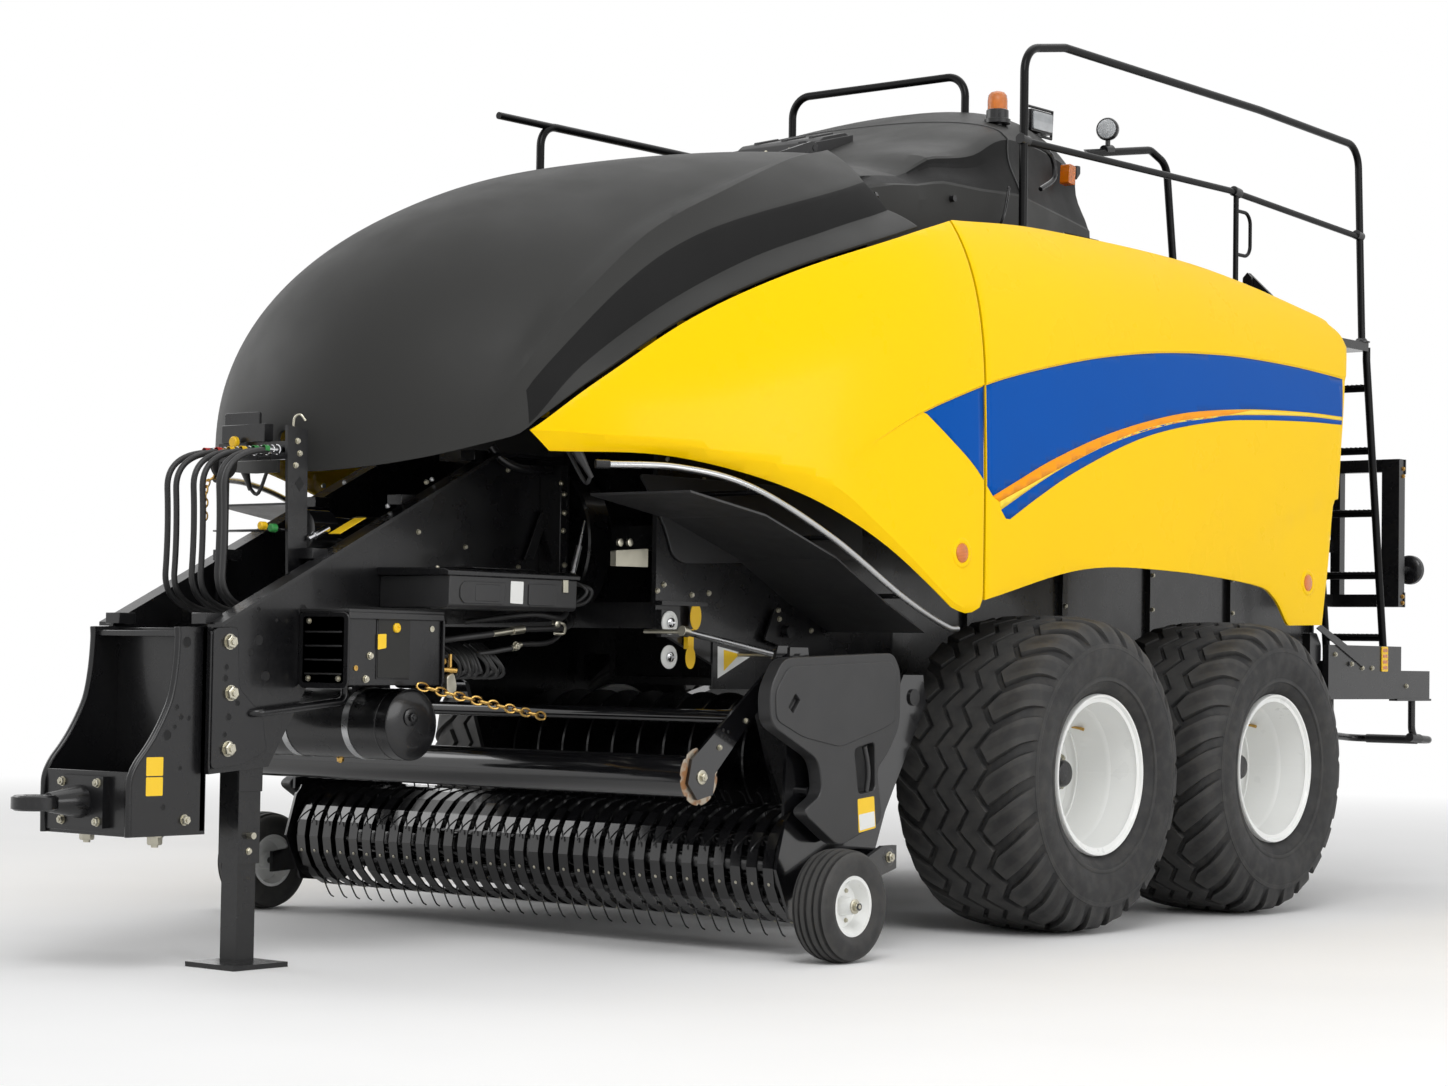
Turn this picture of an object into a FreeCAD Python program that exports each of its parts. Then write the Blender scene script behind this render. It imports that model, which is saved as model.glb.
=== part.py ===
# Large square baler: towed machine with a curved front hood, four yellow side shields,
# a wide pickup, a tandem axle and a rear platform.  Millimetres.
# +X is the machine's left side, -Y its front, +Z up; the origin is on the floor at the
# centre of the machine's footprint.
import FreeCAD, Part
import math
import os
import re
from FreeCAD import Rotation, Vector

doc = FreeCAD.newDocument("square_baler")

# ---------------------------------------------------------------- driving dimensions
DIMS = {
    # running gear
    "tyre_radius": 595, "tyre_width": 620, "rim_radius": 303, "wheel_offset": 1197,
    "axle_front": 150, "axle_spacing": 1336, "hub_radius": 120, "spindle_radius": 40,
    "spindle_gap": 0.05, "axle_size": 130, "beam_offset": 770, "beam_width": 90,
    # bale chamber and frame
    "bale_width": 1200, "bale_height": 700, "wall": 30, "gear_half": 230, "flywheel_front": -1440,
    "gear_front": -1260, "shaft_z": 1420, "chamber_floor": 930,
    "chamber_front": -250, "chamber_rear": 3350, "cheek_offset": 700, "cheek_front": -1550,
    "cheek_back": -150,
    # drawbar and hitch
    "plate": 20, "drawbar_half": 250, "drawbar_front": -3150, "drawbar_back": -1580,
    "eye_front": -3700, "eye_height": 534, "eye_radius": 72, "eye_bore": 25, "eye_thick": 36,
    # parking jack
    "jack_x": 175, "jack_y": -2950, "jack_leg": 76, "jack_tube": 92, "jack_foot": 230,
    # body shell
    "shell_half": 1290, "shell_base": 1720, "shell_rise": 1270, "shell_nose": -2632,
    "shell_plan": 2337, "shell_crown": 2993, "shell_skin": 15, "seam": 15, "hood_gap": 20, "seam_y": -372,
    "door_axis_x": 930, "door_axis_z": 2720, "hinge_pin": 12, "hood_axis_y": -190, "hood_axis_z": 3012,
    # pickup
    "reel_y": -1250, "reel_z": 300, "reel_radius": 150, "guard_radius": 200, "pickup_half": 1200,
    "lift_y": -700, "lift_z": 880, "roller_y": -1790, "roller_z": 615, "roller_radius": 70,
    "arm_y": -1370, "arm_z": 1010, "gauge_x": 1420, "gauge_y": -1400, "gauge_radius": 190,
    "gauge_width": 150, "gauge_bore": 12.5, "reel_bore": 25, "lift_bore": 30, "arm_bore": 20,
    "rotor_y": -560, "rotor_z": 640, "rotor_radius": 240,
    # top and rear
    "deck_z": 2480, "deck_front": 1560, "deck_rear": 3200, "deck_half": 1000, "rail_radius": 17,
    "rail_top": 3440, "rail_middle": 3030, "rail_low": 3215, "chute_y": 3400, "chute_z": 960,
    "chute_length": 700,
    "ladder_x": 685, "ladder_width": 295, "rear_end": 3700,
}

dims = doc.addObject("Spreadsheet::Sheet", "dims")
for row, (alias, number) in enumerate(DIMS.items(), start=1):
    dims.set(f"A{row}", alias)
    dims.set(f"B{row}", str(number))
    dims.setAlias(f"B{row}", alias)
doc.recompute()


def bound(text):
    """An expression in which each alias names its cell of the sheet."""
    return re.sub(r"[a-z_]\w*", lambda word: "dims." + word[0] if word[0] in DIMS else word[0], text)


KNOWN = {}


def value(size):
    """The number that a size has now; an expression is worked out in a formula cell of the sheet."""
    if not isinstance(size, str):
        return float(size)
    if size not in KNOWN:
        dims.set("D1", "=" + size)
        dims.recompute()
        KNOWN[size] = float(dims.get("D1"))
    return KNOWN[size]


def bind(item, field, size):
    if isinstance(size, str):
        item.setExpression(field, bound(size))
    else:
        item.setExpression(field, str(size))


def place(item, at, axis="z"):
    """Put an object at a point, with its own Z turned to the named axis."""
    turns = {"z": Rotation(), "x": Rotation(Vector(0, 1, 0), 90), "y": Rotation(Vector(1, 0, 0), -90)}
    item.Placement.Rotation = turns[axis]
    for letter, size in zip("xyz", at):
        bind(item, f".Placement.Base.{letter}", size)
    return item


def box(size, at):
    """A box given by its lengths and its lowest corner."""
    item = doc.addObject("Part::Box", "box")
    for field, length in zip(("Length", "Width", "Height"), size):
        bind(item, field, length)
    return place(item, at)


def wide_box(half, depth, height, y, z):
    """A box that reaches equally far to both sides."""
    return box((f"2*({half})", depth, height), (f"-({half})", y, z))


def rod(radius, length, at, axis="z"):
    item = doc.addObject("Part::Cylinder", "rod")
    bind(item, "Radius", radius)
    bind(item, "Height", length)
    return place(item, at, axis)


def cone(radius_a, radius_b, length, at, axis="z"):
    item = doc.addObject("Part::Cone", "cone")
    bind(item, "Radius1", radius_a)
    bind(item, "Radius2", radius_b)
    bind(item, "Height", length)
    return place(item, at, axis)


def fuse(*parts):
    item = doc.addObject("Part::MultiFuse", "fuse")
    item.Shapes = list(parts)
    return item


def cut(base, *tools):
    item = doc.addObject("Part::Cut", "cut")
    item.Base = base
    item.Tool = tools[0] if len(tools) == 1 else fuse(*tools)
    return item


def group(*parts):
    """Separate solids that share a node."""
    item = doc.addObject("Part::Compound", "group")
    item.Links = list(parts)
    return item


def mirrored(source):
    """The same piece on the other side of the machine."""
    item = doc.addObject("Part::Mirroring", "mirror")
    item.Source = source
    item.Normal = Vector(1, 0, 0)
    return item


def pair(source):
    return group(source, mirrored(source))


def sketch_outline(body, plane, points):
    """A closed outline on one of the body's own planes, each corner held by its two distances."""
    import Sketcher
    sketch = body.newObject("Sketcher::SketchObject", "outline")
    planes = [feature for feature in body.Origin.OriginFeatures if feature.Role == plane]
    sketch.AttachmentSupport = [(planes[0], "")]
    sketch.MapMode = "FlatFace"
    corners = [Vector(value(a), value(b), 0) for a, b in points]
    count = len(corners)
    for index in range(count):
        sketch.addGeometry(Part.LineSegment(corners[index], corners[(index + 1) % count]), False)
    for index in range(count):
        sketch.addConstraint(Sketcher.Constraint("Coincident", index, 2, (index + 1) % count, 1))
    for index, (a, b) in enumerate(points):
        for kind, size in (("DistanceX", a), ("DistanceY", b)):
            number = sketch.addConstraint(Sketcher.Constraint(kind, -1, 1, index, 1, value(size)))
            if isinstance(size, str):
                sketch.setExpression(f"Constraints[{number}]", bound(size))
    return sketch


def plate(points, thickness, x):
    """A flat plate cut to a side-view outline of (y, z) points; x is its lower face."""
    body = doc.addObject("PartDesign::Body", "plate")
    sketch = sketch_outline(body, "YZ_Plane", points)
    pad = body.newObject("PartDesign::Pad", "pad")
    pad.Profile = sketch
    bind(pad, "Length", thickness)
    return place(body, (x, 0, 0))


def sheet(points, thickness, z):
    """A flat plate cut to a plan outline of (x, y) points; z is its lower face."""
    body = doc.addObject("PartDesign::Body", "sheet")
    sketch = sketch_outline(body, "XY_Plane", points)
    pad = body.newObject("PartDesign::Pad", "pad")
    pad.Profile = sketch
    bind(pad, "Length", thickness)
    return place(body, (0, 0, z))


def turned(points, at):
    """A ring or disc turned about the X direction from (x, radius) points."""
    body = doc.addObject("PartDesign::Body", "turned")
    sketch = sketch_outline(body, "XY_Plane", points)
    turn = body.newObject("PartDesign::Revolution", "turn")
    turn.Profile = sketch
    turn.ReferenceAxis = (sketch, ["H_Axis"])
    turn.Angle = 360
    return place(body, at)


def shaped(shape, name="form"):
    item = doc.addObject("Part::Feature", name)
    item.Shape = shape
    return item


def bent_path(points, bend=None):
    """A wire of straight runs and tangent arcs of the bend radius, or as wide as the runs allow."""
    edges = []
    start = points[0]
    for before, corner, after in zip(points, points[1:], points[2:]):
        into = (corner - before).normalize()
        out = (after - corner).normalize()
        half = into.getAngle(out) / 2
        shorter = min((corner - before).Length, (after - corner).Length)
        reach = bend * math.tan(half) if bend else 0.45 * shorter
        radius = reach / math.tan(half)
        if not bend:
            print("cord bend radius", round(radius))
        first = corner - into * reach
        last = corner + out * reach
        middle = corner + (out - into).normalize() * (radius / math.cos(half) - radius)
        edges.append(Part.LineSegment(start, first).toShape())
        edges.append(Part.Arc(first, middle, last).toShape())
        start = last
    edges.append(Part.LineSegment(start, points[-1]).toShape())
    return Part.Wire(edges)


def tube(points, radius, bend=None):
    """A round tube or rod bent along the points, as one solid."""
    places = [Vector(*(value(size) for size in point)) for point in points]
    if len(places) == 2:
        path = Part.Wire([Part.LineSegment(*places).toShape()])
    else:
        path = bent_path(places, bend)
    direction = places[1] - places[0]
    section = Part.Wire([Part.Circle(places[0], direction, value(radius)).toShape()])
    return shaped(path.makePipeShell([section], True, False), "tube")


NODES = {}


def node(name, item):
    item.Label = name
    NODES[name] = item
    return item


# ---------------------------------------------------------------- wheels and axles
def make_tyre(side, y, width="tyre_width", radius="tyre_radius", rim="rim_radius", x="wheel_offset",
              crown=30):
    half = f"({width})/2"
    points = [(f"-{half}+55", rim), (f"-{half}+12", f"{rim}+30"), (f"-{half}", f"({radius}+{rim})/2"),
              (f"-{half}+12", f"{radius}-95"), (f"-{half}+70", f"{radius}-{crown}"),
              (f"-{half}*0.45", radius),
              (f"{half}*0.45", radius), (f"{half}-70", f"{radius}-{crown}"), (f"{half}-12", f"{radius}-95"),
              (half, f"({radius}+{rim})/2"), (f"{half}-12", f"{rim}+30"), (f"{half}-55", rim)]
    return turned(points, (f"{side}*({x})", y, radius))


def make_rim(side, y):
    """A deep dished steel rim whose disc sits inboard, with a hub and its bearing bore."""
    face = "tyre_width/2-49"
    bore = "spindle_radius+spindle_gap"
    rim = "rim_radius-0.3"
    points = [(f"-({face})", rim), (f"-({face})", "rim_radius-28"), ("-60", "rim_radius-45"),
              ("-60", "hub_radius"), ("-130", "hub_radius"), ("-130", bore), ("60", bore),
              ("60", "hub_radius-40"),
              ("-20", "hub_radius"), ("-20", "rim_radius-75"), ("10", "rim_radius-60"),
              (face, "rim_radius-28"), (face, rim)]
    flip = points if side > 0 else [(f"-({a})", b) for a, b in reversed(points)]
    return turned(flip, (f"{side}*wheel_offset", y, "tyre_radius"))


for end, y in (("front", "axle_front"), ("rear", "axle_front+axle_spacing")):
    for name, side in (("left", 1), ("right", -1)):
        node(f"tyre_{end}_{name}", make_tyre(side, y))
        node(f"rim_{end}_{name}", make_rim(side, y))


def make_axle(y):
    beam = wide_box("wheel_offset-150", "axle_size", "axle_size", f"{y}-axle_size/2",
                    "tyre_radius-axle_size/2")
    spindle = rod("spindle_radius", "2*(wheel_offset+50)", ("-(wheel_offset+50)", y, "tyre_radius"), "x")
    return fuse(beam, spindle)


node("axles", group(make_axle("axle_front"), make_axle("axle_front+axle_spacing")))

beam_z = "tyre_radius+axle_size/2"
beam_side = plate([("axle_front-170", beam_z), ("axle_front+axle_spacing+170", beam_z),
                   ("axle_front+axle_spacing+120", f"{beam_z}+90"),
                   ("axle_front+axle_spacing/2+160", "chamber_floor-20"),
                   ("axle_front+axle_spacing/2-160", "chamber_floor-20"),
                   ("axle_front-120", f"{beam_z}+90")],
                  "beam_width", "beam_offset-beam_width/2")

# ---------------------------------------------------------------- bale chamber and frame
chamber_block = wide_box("bale_width/2+wall", "chamber_rear-chamber_front", "bale_height+2*wall",
                         "chamber_front", "chamber_floor-wall")
chamber_space = wide_box("bale_width/2", "chamber_rear-chamber_front+200", "bale_height",
                         "chamber_front-100", "chamber_floor")
node("bale_chamber", cut(chamber_block, chamber_space))

carrier = box((f"beam_offset+beam_width/2-(bale_width/2+wall)", 420, 60),
              ("bale_width/2+wall", "axle_front+axle_spacing/2-210", "chamber_floor-20"))
cheek = plate([("cheek_front", 1110), ("cheek_front", 1860), ("cheek_back", 1860), ("cheek_back", 1000),
               (-300, 900),
               (-300, 520), (-420, 360), (-760, 360), (-900, 640), (-1000, 900)], "plate", "cheek_offset")
node("frame_cheeks", pair(cheek))
node("tandem_beams", pair(fuse(beam_side, carrier)))

cross_front = wide_box("cheek_offset", 100, 100, "cheek_front", 1760)
cross_low = wide_box("cheek_offset", 100, 90, "cheek_front", 1110)
cross_back = wide_box("cheek_offset", 160, 120, -330, 1740)
spacer = box(("cheek_offset-(bale_width/2+wall)", 90, 600), ("bale_width/2+wall", "cheek_back-90", 1020))
gear_mount = box(("cheek_offset-gear_half", 260, 90), ("gear_half", -1130, 1400))
node("cross_beams", group(cross_front, cross_low, cross_back, pair(spacer), pair(gear_mount)))
node("main_gearbox", fuse(wide_box("gear_half", 520, 670, "gear_front", 1180),
                          wide_box(160, 300, 150, -1150, 1850)))

# ---------------------------------------------------------------- drawbar, hitch and jack
drawbar_side = plate([("drawbar_front", 620), ("drawbar_front", 1085), (-1900, 1700),
                      ("drawbar_back", 1700),
                      ("drawbar_back", 1130), (-2400, 1100), (-2700, 960), (-2900, 640)], "plate",
                      "drawbar_half-plate")
flange = plate([("drawbar_front", 1085), (-1900, 1700), ("drawbar_back", 1700), ("drawbar_back", 1712),
                (-1903, 1712), ("drawbar_front", 1098)], 70, "drawbar_half-plate")
ties = [rod(45, "2*(drawbar_half-plate)", ("-(drawbar_half-plate)", y, z), "x")
        for y, z in ((-2850, 860), (-1900, 1190))]
back_plate = wide_box("drawbar_half+60", "cheek_front-drawbar_back", 750, "drawbar_back", 1110)
shaft_hole = rod(110, 60, (0, "drawbar_back-20", "shaft_z"), "y")
node("drawbar", cut(fuse(drawbar_side, flange, mirrored(drawbar_side), mirrored(flange), back_plate,
                         *ties), shaft_hole))

hitch_side = plate([(-3430, 430), (-3130, 430), (-3130, 1085), (-3420, 1060), (-3385, 960), (-3350, 800),
                    (-3360, 660), (-3430, 560)], "plate", 195)
hitch_parts = [wide_box(215, 300, 24, -3425, 430), wide_box(215, 280, 20, -3410, 1045),
               wide_box("drawbar_half-plate-0.3", 24, 640, -3154, 440),
               wide_box(195, 24, 190, -3430, 440)]
node("hitch_bracket", fuse(hitch_side, mirrored(hitch_side), *hitch_parts))

eye_y = "eye_front+eye_radius"
ring = rod("eye_radius", "eye_thick", (0, eye_y, "eye_height-eye_thick/2"))
shank = cone(30, 55, "-3440-(eye_front+eye_radius+50)", (0, "eye_front+eye_radius+50", "eye_height"), "y")
flange_plate = wide_box(110, 24, 160, -3454, "eye_height-80")
eye_hole = rod("eye_bore", "eye_thick+20", (0, eye_y, "eye_height-eye_thick/2-10"))
node("tow_eye", cut(fuse(ring, shank, flange_plate), eye_hole))

jack_bore = box(("jack_leg+0.6", "jack_leg+0.6", 700),
                ("jack_x-jack_leg/2-0.3", "jack_y-jack_leg/2-0.3", 250))
jack_block = box(("jack_tube", "jack_tube", 560), ("jack_x-jack_tube/2", "jack_y-jack_tube/2", 330))
jack_mount = box(("drawbar_half-plate-(jack_x+jack_tube/2)", "jack_tube", 220),
                 ("jack_x+jack_tube/2", "jack_y-jack_tube/2", 660))
node("jack_tube", fuse(cut(jack_block, jack_bore), jack_mount))
leg = box(("jack_leg", "jack_leg", 590), ("jack_x-jack_leg/2", "jack_y-jack_leg/2", 16))
foot = box(("jack_foot", "jack_foot", 16), ("jack_x-jack_foot/2", "jack_y-jack_foot/2", 0))
node("jack_leg", fuse(leg, foot))

# ---------------------------------------------------------------- driveline
node("flywheel", fuse(rod(320, 110, (0, "flywheel_front", "shaft_z"), "y"),
                      rod(60, "gear_front-0.3-flywheel_front", (0, "flywheel_front", "shaft_z"), "y")))
node("drive_shaft", fuse(rod(50, 1000, (0, -2440, "shaft_z"), "y"), rod(85, 60, (0, -1560, "shaft_z"), "y"),
                         rod(70, 110, (0, -2550, "shaft_z"), "y")))

# ---------------------------------------------------------------- boxes and tank on the drawbar
node("valve_box", box((230, 440, 250), ("drawbar_half", -2780, 900)))
node("tool_box", box((330, 720, 150), ("drawbar_half", -2430, 1160)))
tank = rod(118, 690, (-260, -2440, 775), "x")
tank_hanger = box(("plate", 120, 420), ("drawbar_half-2*plate", -2500, 750))
tank_strut = tube([("drawbar_half", -2990, 812), ("drawbar_half+32", -2990, 812),
                   ("drawbar_half+32", -2600, 850),
                   ("drawbar_half+32", -2600, 900)], 13, 28)
node("air_tank", group(fuse(tank, tank_hanger, mirrored(tank_hanger)), tank_strut))

# holder and its hoses
manifold = wide_box("drawbar_half-plate", 80, 60, -2760, 1100)
holder_plate = plate([(-2760, 1100), (-2680, 1100), (-2690, 1740), (-2780, 1750)], 12, 165)
coupler_bar = box((345, 20, 60), (-180, -2760, 1640))
holder_leg = box((12, 40, 600), (-180, -2760, 1100))
node("hose_holder", fuse(manifold, holder_plate, coupler_bar, holder_leg))
HOSES = ((-150, 0, 4), (-90, 14, -6), (-30, -8, 8), (30, 6, -4), (90, -12, 6), (140, 10, -8))


def make_hose(x, reach, drop):
    """A hose that comes out of the coupler bar, hangs in front of it and goes back into the manifold."""
    route = [(-2760, 1670), (-3012 - reach, 1670), (-2994 - reach, 1400 + drop), (-3012 - reach, 1130),
             (-2760, 1130)]
    return tube([(x, y, z) for y, z in route], 10)


node("hydraulic_hoses", group(*(make_hose(*hose) for hose in HOSES)))

# ---------------------------------------------------------------- body shell
def rounded(size, half, power):
    return half * max(0.0, 1.0 - size ** power) ** (1.0 / power)


def shell_section(y, inset):
    """Half width and height of the shell's skin at a station, and how square its shoulder is."""
    nose = value("shell_nose") + inset
    plan = (nose + value("shell_plan") - y) / value("shell_plan")
    crown = (nose + value("shell_crown") - y) / value("shell_crown")
    half = rounded(max(plan, 0.0), value("shell_half") - inset, 2.14)
    rise = rounded(max(crown, 0.0), value("shell_rise") - inset, 2.2)
    blend = min(max((y + 1900.0) / 1400.0, 0.0), 1.0)
    return half, rise, 2.1 + 1.2 * blend * blend * (3.0 - 2.0 * blend)


ARCH_STEPS = 14
STATIONS = 16


def section_wire(y, half, rise, power, base, floor):
    """A closed arch: straight sides up to the base height, then a rounded crown."""
    arch = []
    for step in range(ARCH_STEPS + 1):
        turn = math.pi / 2 * step / ARCH_STEPS
        arch.append(Vector(half * math.cos(turn) ** (2 / power), y,
                           base + rise * math.sin(turn) ** (2 / power)))
    left = [Vector(half, y, floor), Vector(half, y, (floor + base) / 2)]
    right = [Vector(-point.x, y, point.z) for point in reversed(left + arch[:-1])]
    curve = Part.BSplineCurve()
    curve.interpolate(left + arch + right)
    closing = Part.LineSegment(Vector(-half, y, floor), Vector(half, y, floor))
    return Part.Wire([curve.toShape(), closing.toShape()])


shell_foot = 1100.0


def shell_solid(inset, rear):
    nose = value("shell_nose") + inset + 4
    wires = []
    for step in range(STATIONS + 1):
        y = rear - (rear - nose) * math.sin(math.pi / 2 * step / STATIONS)
        half, rise, power = shell_section(y, inset)
        wires.append(section_wire(y, half, rise, power, value("shell_base"), shell_foot))
    return Part.makeLoft(list(reversed(wires)), True, False)


rear_limit = 2900.0
shell_skin = shell_solid(0.0, rear_limit).cut(shell_solid(value("shell_skin"), rear_limit + 20))


def region(lines, low_x, high_x):
    """A block that keeps one side-view region; a line of (y, z) points is curved if it has over two."""
    edges = []
    for line in lines:
        points = [Vector(low_x, a, b) for a, b in line]
        if len(points) == 2:
            edges.append(Part.LineSegment(*points).toShape())
        else:
            curve = Part.BSplineCurve()
            curve.interpolate(points)
            edges.append(curve.toShape())
    return Part.Face(Part.Wire(edges)).extrude(Vector(high_x - low_x, 0, 0))


gap = value("seam")
seam_y = value("seam_y")
seam_front = seam_y - gap / 2
seam_rear = seam_y + gap / 2
TIP = (-2245.0, 1748.0)
SEAM_TOP = (seam_front, 2640.0)
hood_seam = [TIP, (-2041.0, 1925.0), (-1687.0, 2160.0), (-1239.0, 2365.0), (-700.0, 2545.0), SEAM_TOP]
front_lower = [(-2190.0, 1684.0), (-1800.0, 1680.0), (-1310.0, 1582.0), (-948.0, 1433.0), (-560.0, 1205.0)]
front_panel = region([hood_seam, [SEAM_TOP, (seam_front, 1270.0)],
                      [(seam_front, 1270.0), (-400.0, 1205.0), (-480.0, 1184.0), (-560.0, 1205.0)],
                      list(reversed(front_lower)), [front_lower[0], TIP]], 0.0, 1600.0)
rear_top = [(seam_rear, 2645.0), (300.0, 2690.0), (1400.0, 2680.0), (2300.0, 2560.0), (2560.0, 2480.0)]
rear_edge = [rear_top[-1], (2470.0, 2270.0), (2390.0, 1990.0), (2355.0, 1745.0)]
arch_line = [(1900.0, 1200.0), (1790.0, 1300.0), (1610.0, 1350.0), (940.0, 1385.0), (300.0, 1370.0),
             (seam_rear, 1237.0)]
rear_panel = region([rear_top, rear_edge, [rear_edge[-1], (2325.0, 1738.0)],
                     [(2325.0, 1738.0), (2215.0, 1192.0)],
                     [(2215.0, 1192.0), (1920.0, 1185.0)], [(1920.0, 1185.0), arch_line[0]], arch_line,
                     [arch_line[-1], rear_top[0]]], 0.0, 1600.0)


def rib(points, thickness, y):
    """A flat lug cut to a front-view outline of (x, z) points, from y rearwards."""
    wire = Part.makePolygon([Vector(x, y, z) for x, z in points + points[:1]])
    return Part.Face(wire).extrude(Vector(0, thickness, 0))


axis_x = value("door_axis_x")
axis_z = value("door_axis_z")
lug_half = 22
lug_thick = 16.0
lug_gap = 6.0
bracket_thick = 12.0
lug_inset = 6.0
front_reach = value("shell_half") - 1030.0
rear_reach = value("shell_half") - 1100.0
front_arm = [(17, 0), (8, 15), (-18, 10), (-140, -92), (-138, -262), (30, -318), (front_reach, -280),
             (front_reach, -215), (30, -268), (-98, -228), (-98, -112), (8, -lug_half)]
rear_arm = [(0, lug_half), (-lug_half, 0), (0, -lug_half), (rear_reach, -100), (rear_reach, -30)]
LUGS = {"front": (front_arm, (-650.0, -600.0)), "rear": (rear_arm, (700.0, 2200.0))}


def hinge_lugs(end):
    """The arms that carry a side shield, kept just under its outer face, with their pin holes."""
    outline, stations = LUGS[end]
    inside = shell_solid(lug_inset, rear_limit)
    corners = [(axis_x + x, axis_z + z) for x, z in outline]
    arms = [rib(corners, lug_thick, y).common(inside) for y in stations]
    hole = Part.makeCylinder(value("hinge_pin+spindle_gap"), 4000, Vector(axis_x, -1500, axis_z),
                             Vector(0, 1, 0))
    return arms, hole


for name, block in (("front", front_panel), ("rear", rear_panel)):
    arms, hole = hinge_lugs(name)
    left = shaped(shell_skin.common(block).fuse(arms).cut(hole))
    node(f"side_shield_{name}_left", left)
    node(f"side_shield_{name}_right", mirrored(left))

raised = [(y - 6.0, z + value("hood_gap")) for y, z in hood_seam[:-1]]
hood_back = [raised[-1], (-560.0, 2640.0), (-440.0, 2776.0), (-380.0, 2850.0), (-250.0, 2920.0)]
hood_region = region([[(-2700.0, 1590.0), (-2600.0, 1612.0), (-2400.0, 1690.0), (-2262.0, 1742.0)],
                      [(-2262.0, 1742.0), raised[0]], raised, hood_back,
                      [(-250.0, 2920.0), (-250.0, 3100.0)], [(-250.0, 3100.0), (-2700.0, 3100.0)],
                      [(-2700.0, 3100.0), (-2700.0, 1590.0)]], -1500.0, 1500.0)
hood_axis = (value("hood_axis_y"), value("hood_axis_z"))
hood_lug = region([[(-430.0, 2880.0), (-262.0, 2940.0)], [(-262.0, 2940.0), (-175.0, 2992.0)],
                   [(-175.0, 2992.0), (-168.0, 3030.0)], [(-168.0, 3030.0), (-210.0, 3036.0)],
                   [(-210.0, 3036.0), (-430.0, 2960.0)], [(-430.0, 2960.0), (-430.0, 2880.0)]], 322.0,
                   342.0)
hood_hole = Part.makeCylinder(value("hinge_pin+spindle_gap"), 800, Vector(-400, *hood_axis),
                              Vector(1, 0, 0))
hood_lug = hood_lug.fuse(hood_lug.mirror(Vector(0, 0, 0), Vector(1, 0, 0)))
node("front_hood", shaped(shell_skin.common(hood_region).fuse(hood_lug).cut(hood_hole)))


# ---------------------------------------------------------------- cover over the knotters
cover_base = 2560.0


def cover_solid(inset):
    """A humped cover behind the hood, narrower than the shields and highest at its back."""
    wires = []
    for y, half, top in ((-700.0, 900.0, 2780.0), (-250.0, 900.0, 2920.0), (300.0, 890.0, 3080.0),
                         (800.0, 880.0, 3270.0),
                         (1200.0, 870.0, 3370.0), (1480.0, 860.0, 3250.0)):
        wires.append(section_wire(y, half - inset, top - cover_base - inset, 2.6, cover_base,
                                  cover_base - 120))
    return Part.makeLoft(wires, True, False)


cover_back = [(y + gap, z + 2.0) for y, z in hood_back]
cover_rear = 1470.0
cover_region = region([[(-560.0, cover_base), cover_back[1]], cover_back[1:],
                       [cover_back[-1], (-238.0, 3500.0)],
                       [(-238.0, 3500.0), (cover_rear, 3500.0)],
                       [(cover_rear, 3500.0), (cover_rear, cover_base)],
                       [(cover_rear, cover_base), (-560.0, cover_base)]], -1500.0, 1500.0)
cover_block = shaped(cover_solid(0.0))
node("knotter_cover", shaped(cover_block.Shape.cut(cover_solid(20.0)).common(cover_region)))

# frame that carries the cover, the shields' hinges and the platform
top_posts = [box((60, 60, "2500-(chamber_floor+bale_height+wall)"),
                 (x, y, "chamber_floor+bale_height+wall"))
             for x in ("-(bale_width/2+20)", "bale_width/2-40") for y in (0, 1380)]
top_beams = [wide_box(880, 60, 60, y, 2500) for y in (0, 1380)]
top_rails = [box((50, 1900, 60), (x, -400, 2500)) for x in (-880, 830)]
hinge_rail = box((50, 850, 60), (700, -790, 2500))
hinge_leg = box((50, 60, 640), (700, -300, 1860))


def hinge_bracket(foot, y):
    """A bracket from its foot outline up to a shield's hinge pin, which it carries."""
    start = y - lug_gap - bracket_thick
    bracket = rib(foot, bracket_thick, start)
    pin = Part.makeCylinder(value("hinge_pin"), bracket_thick + lug_gap + lug_thick,
                            Vector(axis_x, start, axis_z), Vector(0, 1, 0))
    return shaped(bracket.fuse(pin))


front_foot = [(700, 2560), (750, 2560), (axis_x + 15, axis_z - 6), (axis_x, axis_z + 14),
              (axis_x - 20, axis_z + 6),
              (700, 2600)]
bracket_top = [(axis_x + lug_half, axis_z), (axis_x, axis_z + lug_half), (axis_x - lug_half, axis_z)]
rail_foot = [(880, 2500), (955, 2500), *bracket_top, (905, 2564), (880, 2556)]
deck_foot = [(905, 2520), (955, 2520), *bracket_top]
brackets = [hinge_bracket(front_foot, y) for y in LUGS["front"][1]]
brackets.append(hinge_bracket(rail_foot, LUGS["rear"][1][0]))
deck_bracket = hinge_bracket(deck_foot, LUGS["rear"][1][1])
side_frame = fuse(hinge_rail, hinge_leg, *brackets)
node("top_frame", fuse(*top_posts, *top_beams, *top_rails, side_frame, mirrored(side_frame)))
knuckle = fuse(cut(box((36, 50, 140), (280, -215, 2900)), cover_block),
               rod("hinge_pin", 64, (280, "hood_axis_y", "hood_axis_z"), "x"))
node("hood_hinges", pair(knuckle))

# ---------------------------------------------------------------- pickup
tail = 140


def around(y, z, radius, degrees):
    """The (y, z) point at an angle about a centre, as expressions; 0 points rearwards."""
    turn = math.radians(degrees)
    return (f"{y}+({radius})*({math.cos(turn):.5f})", f"{z}+({radius})*({math.sin(turn):.5f})")


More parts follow.
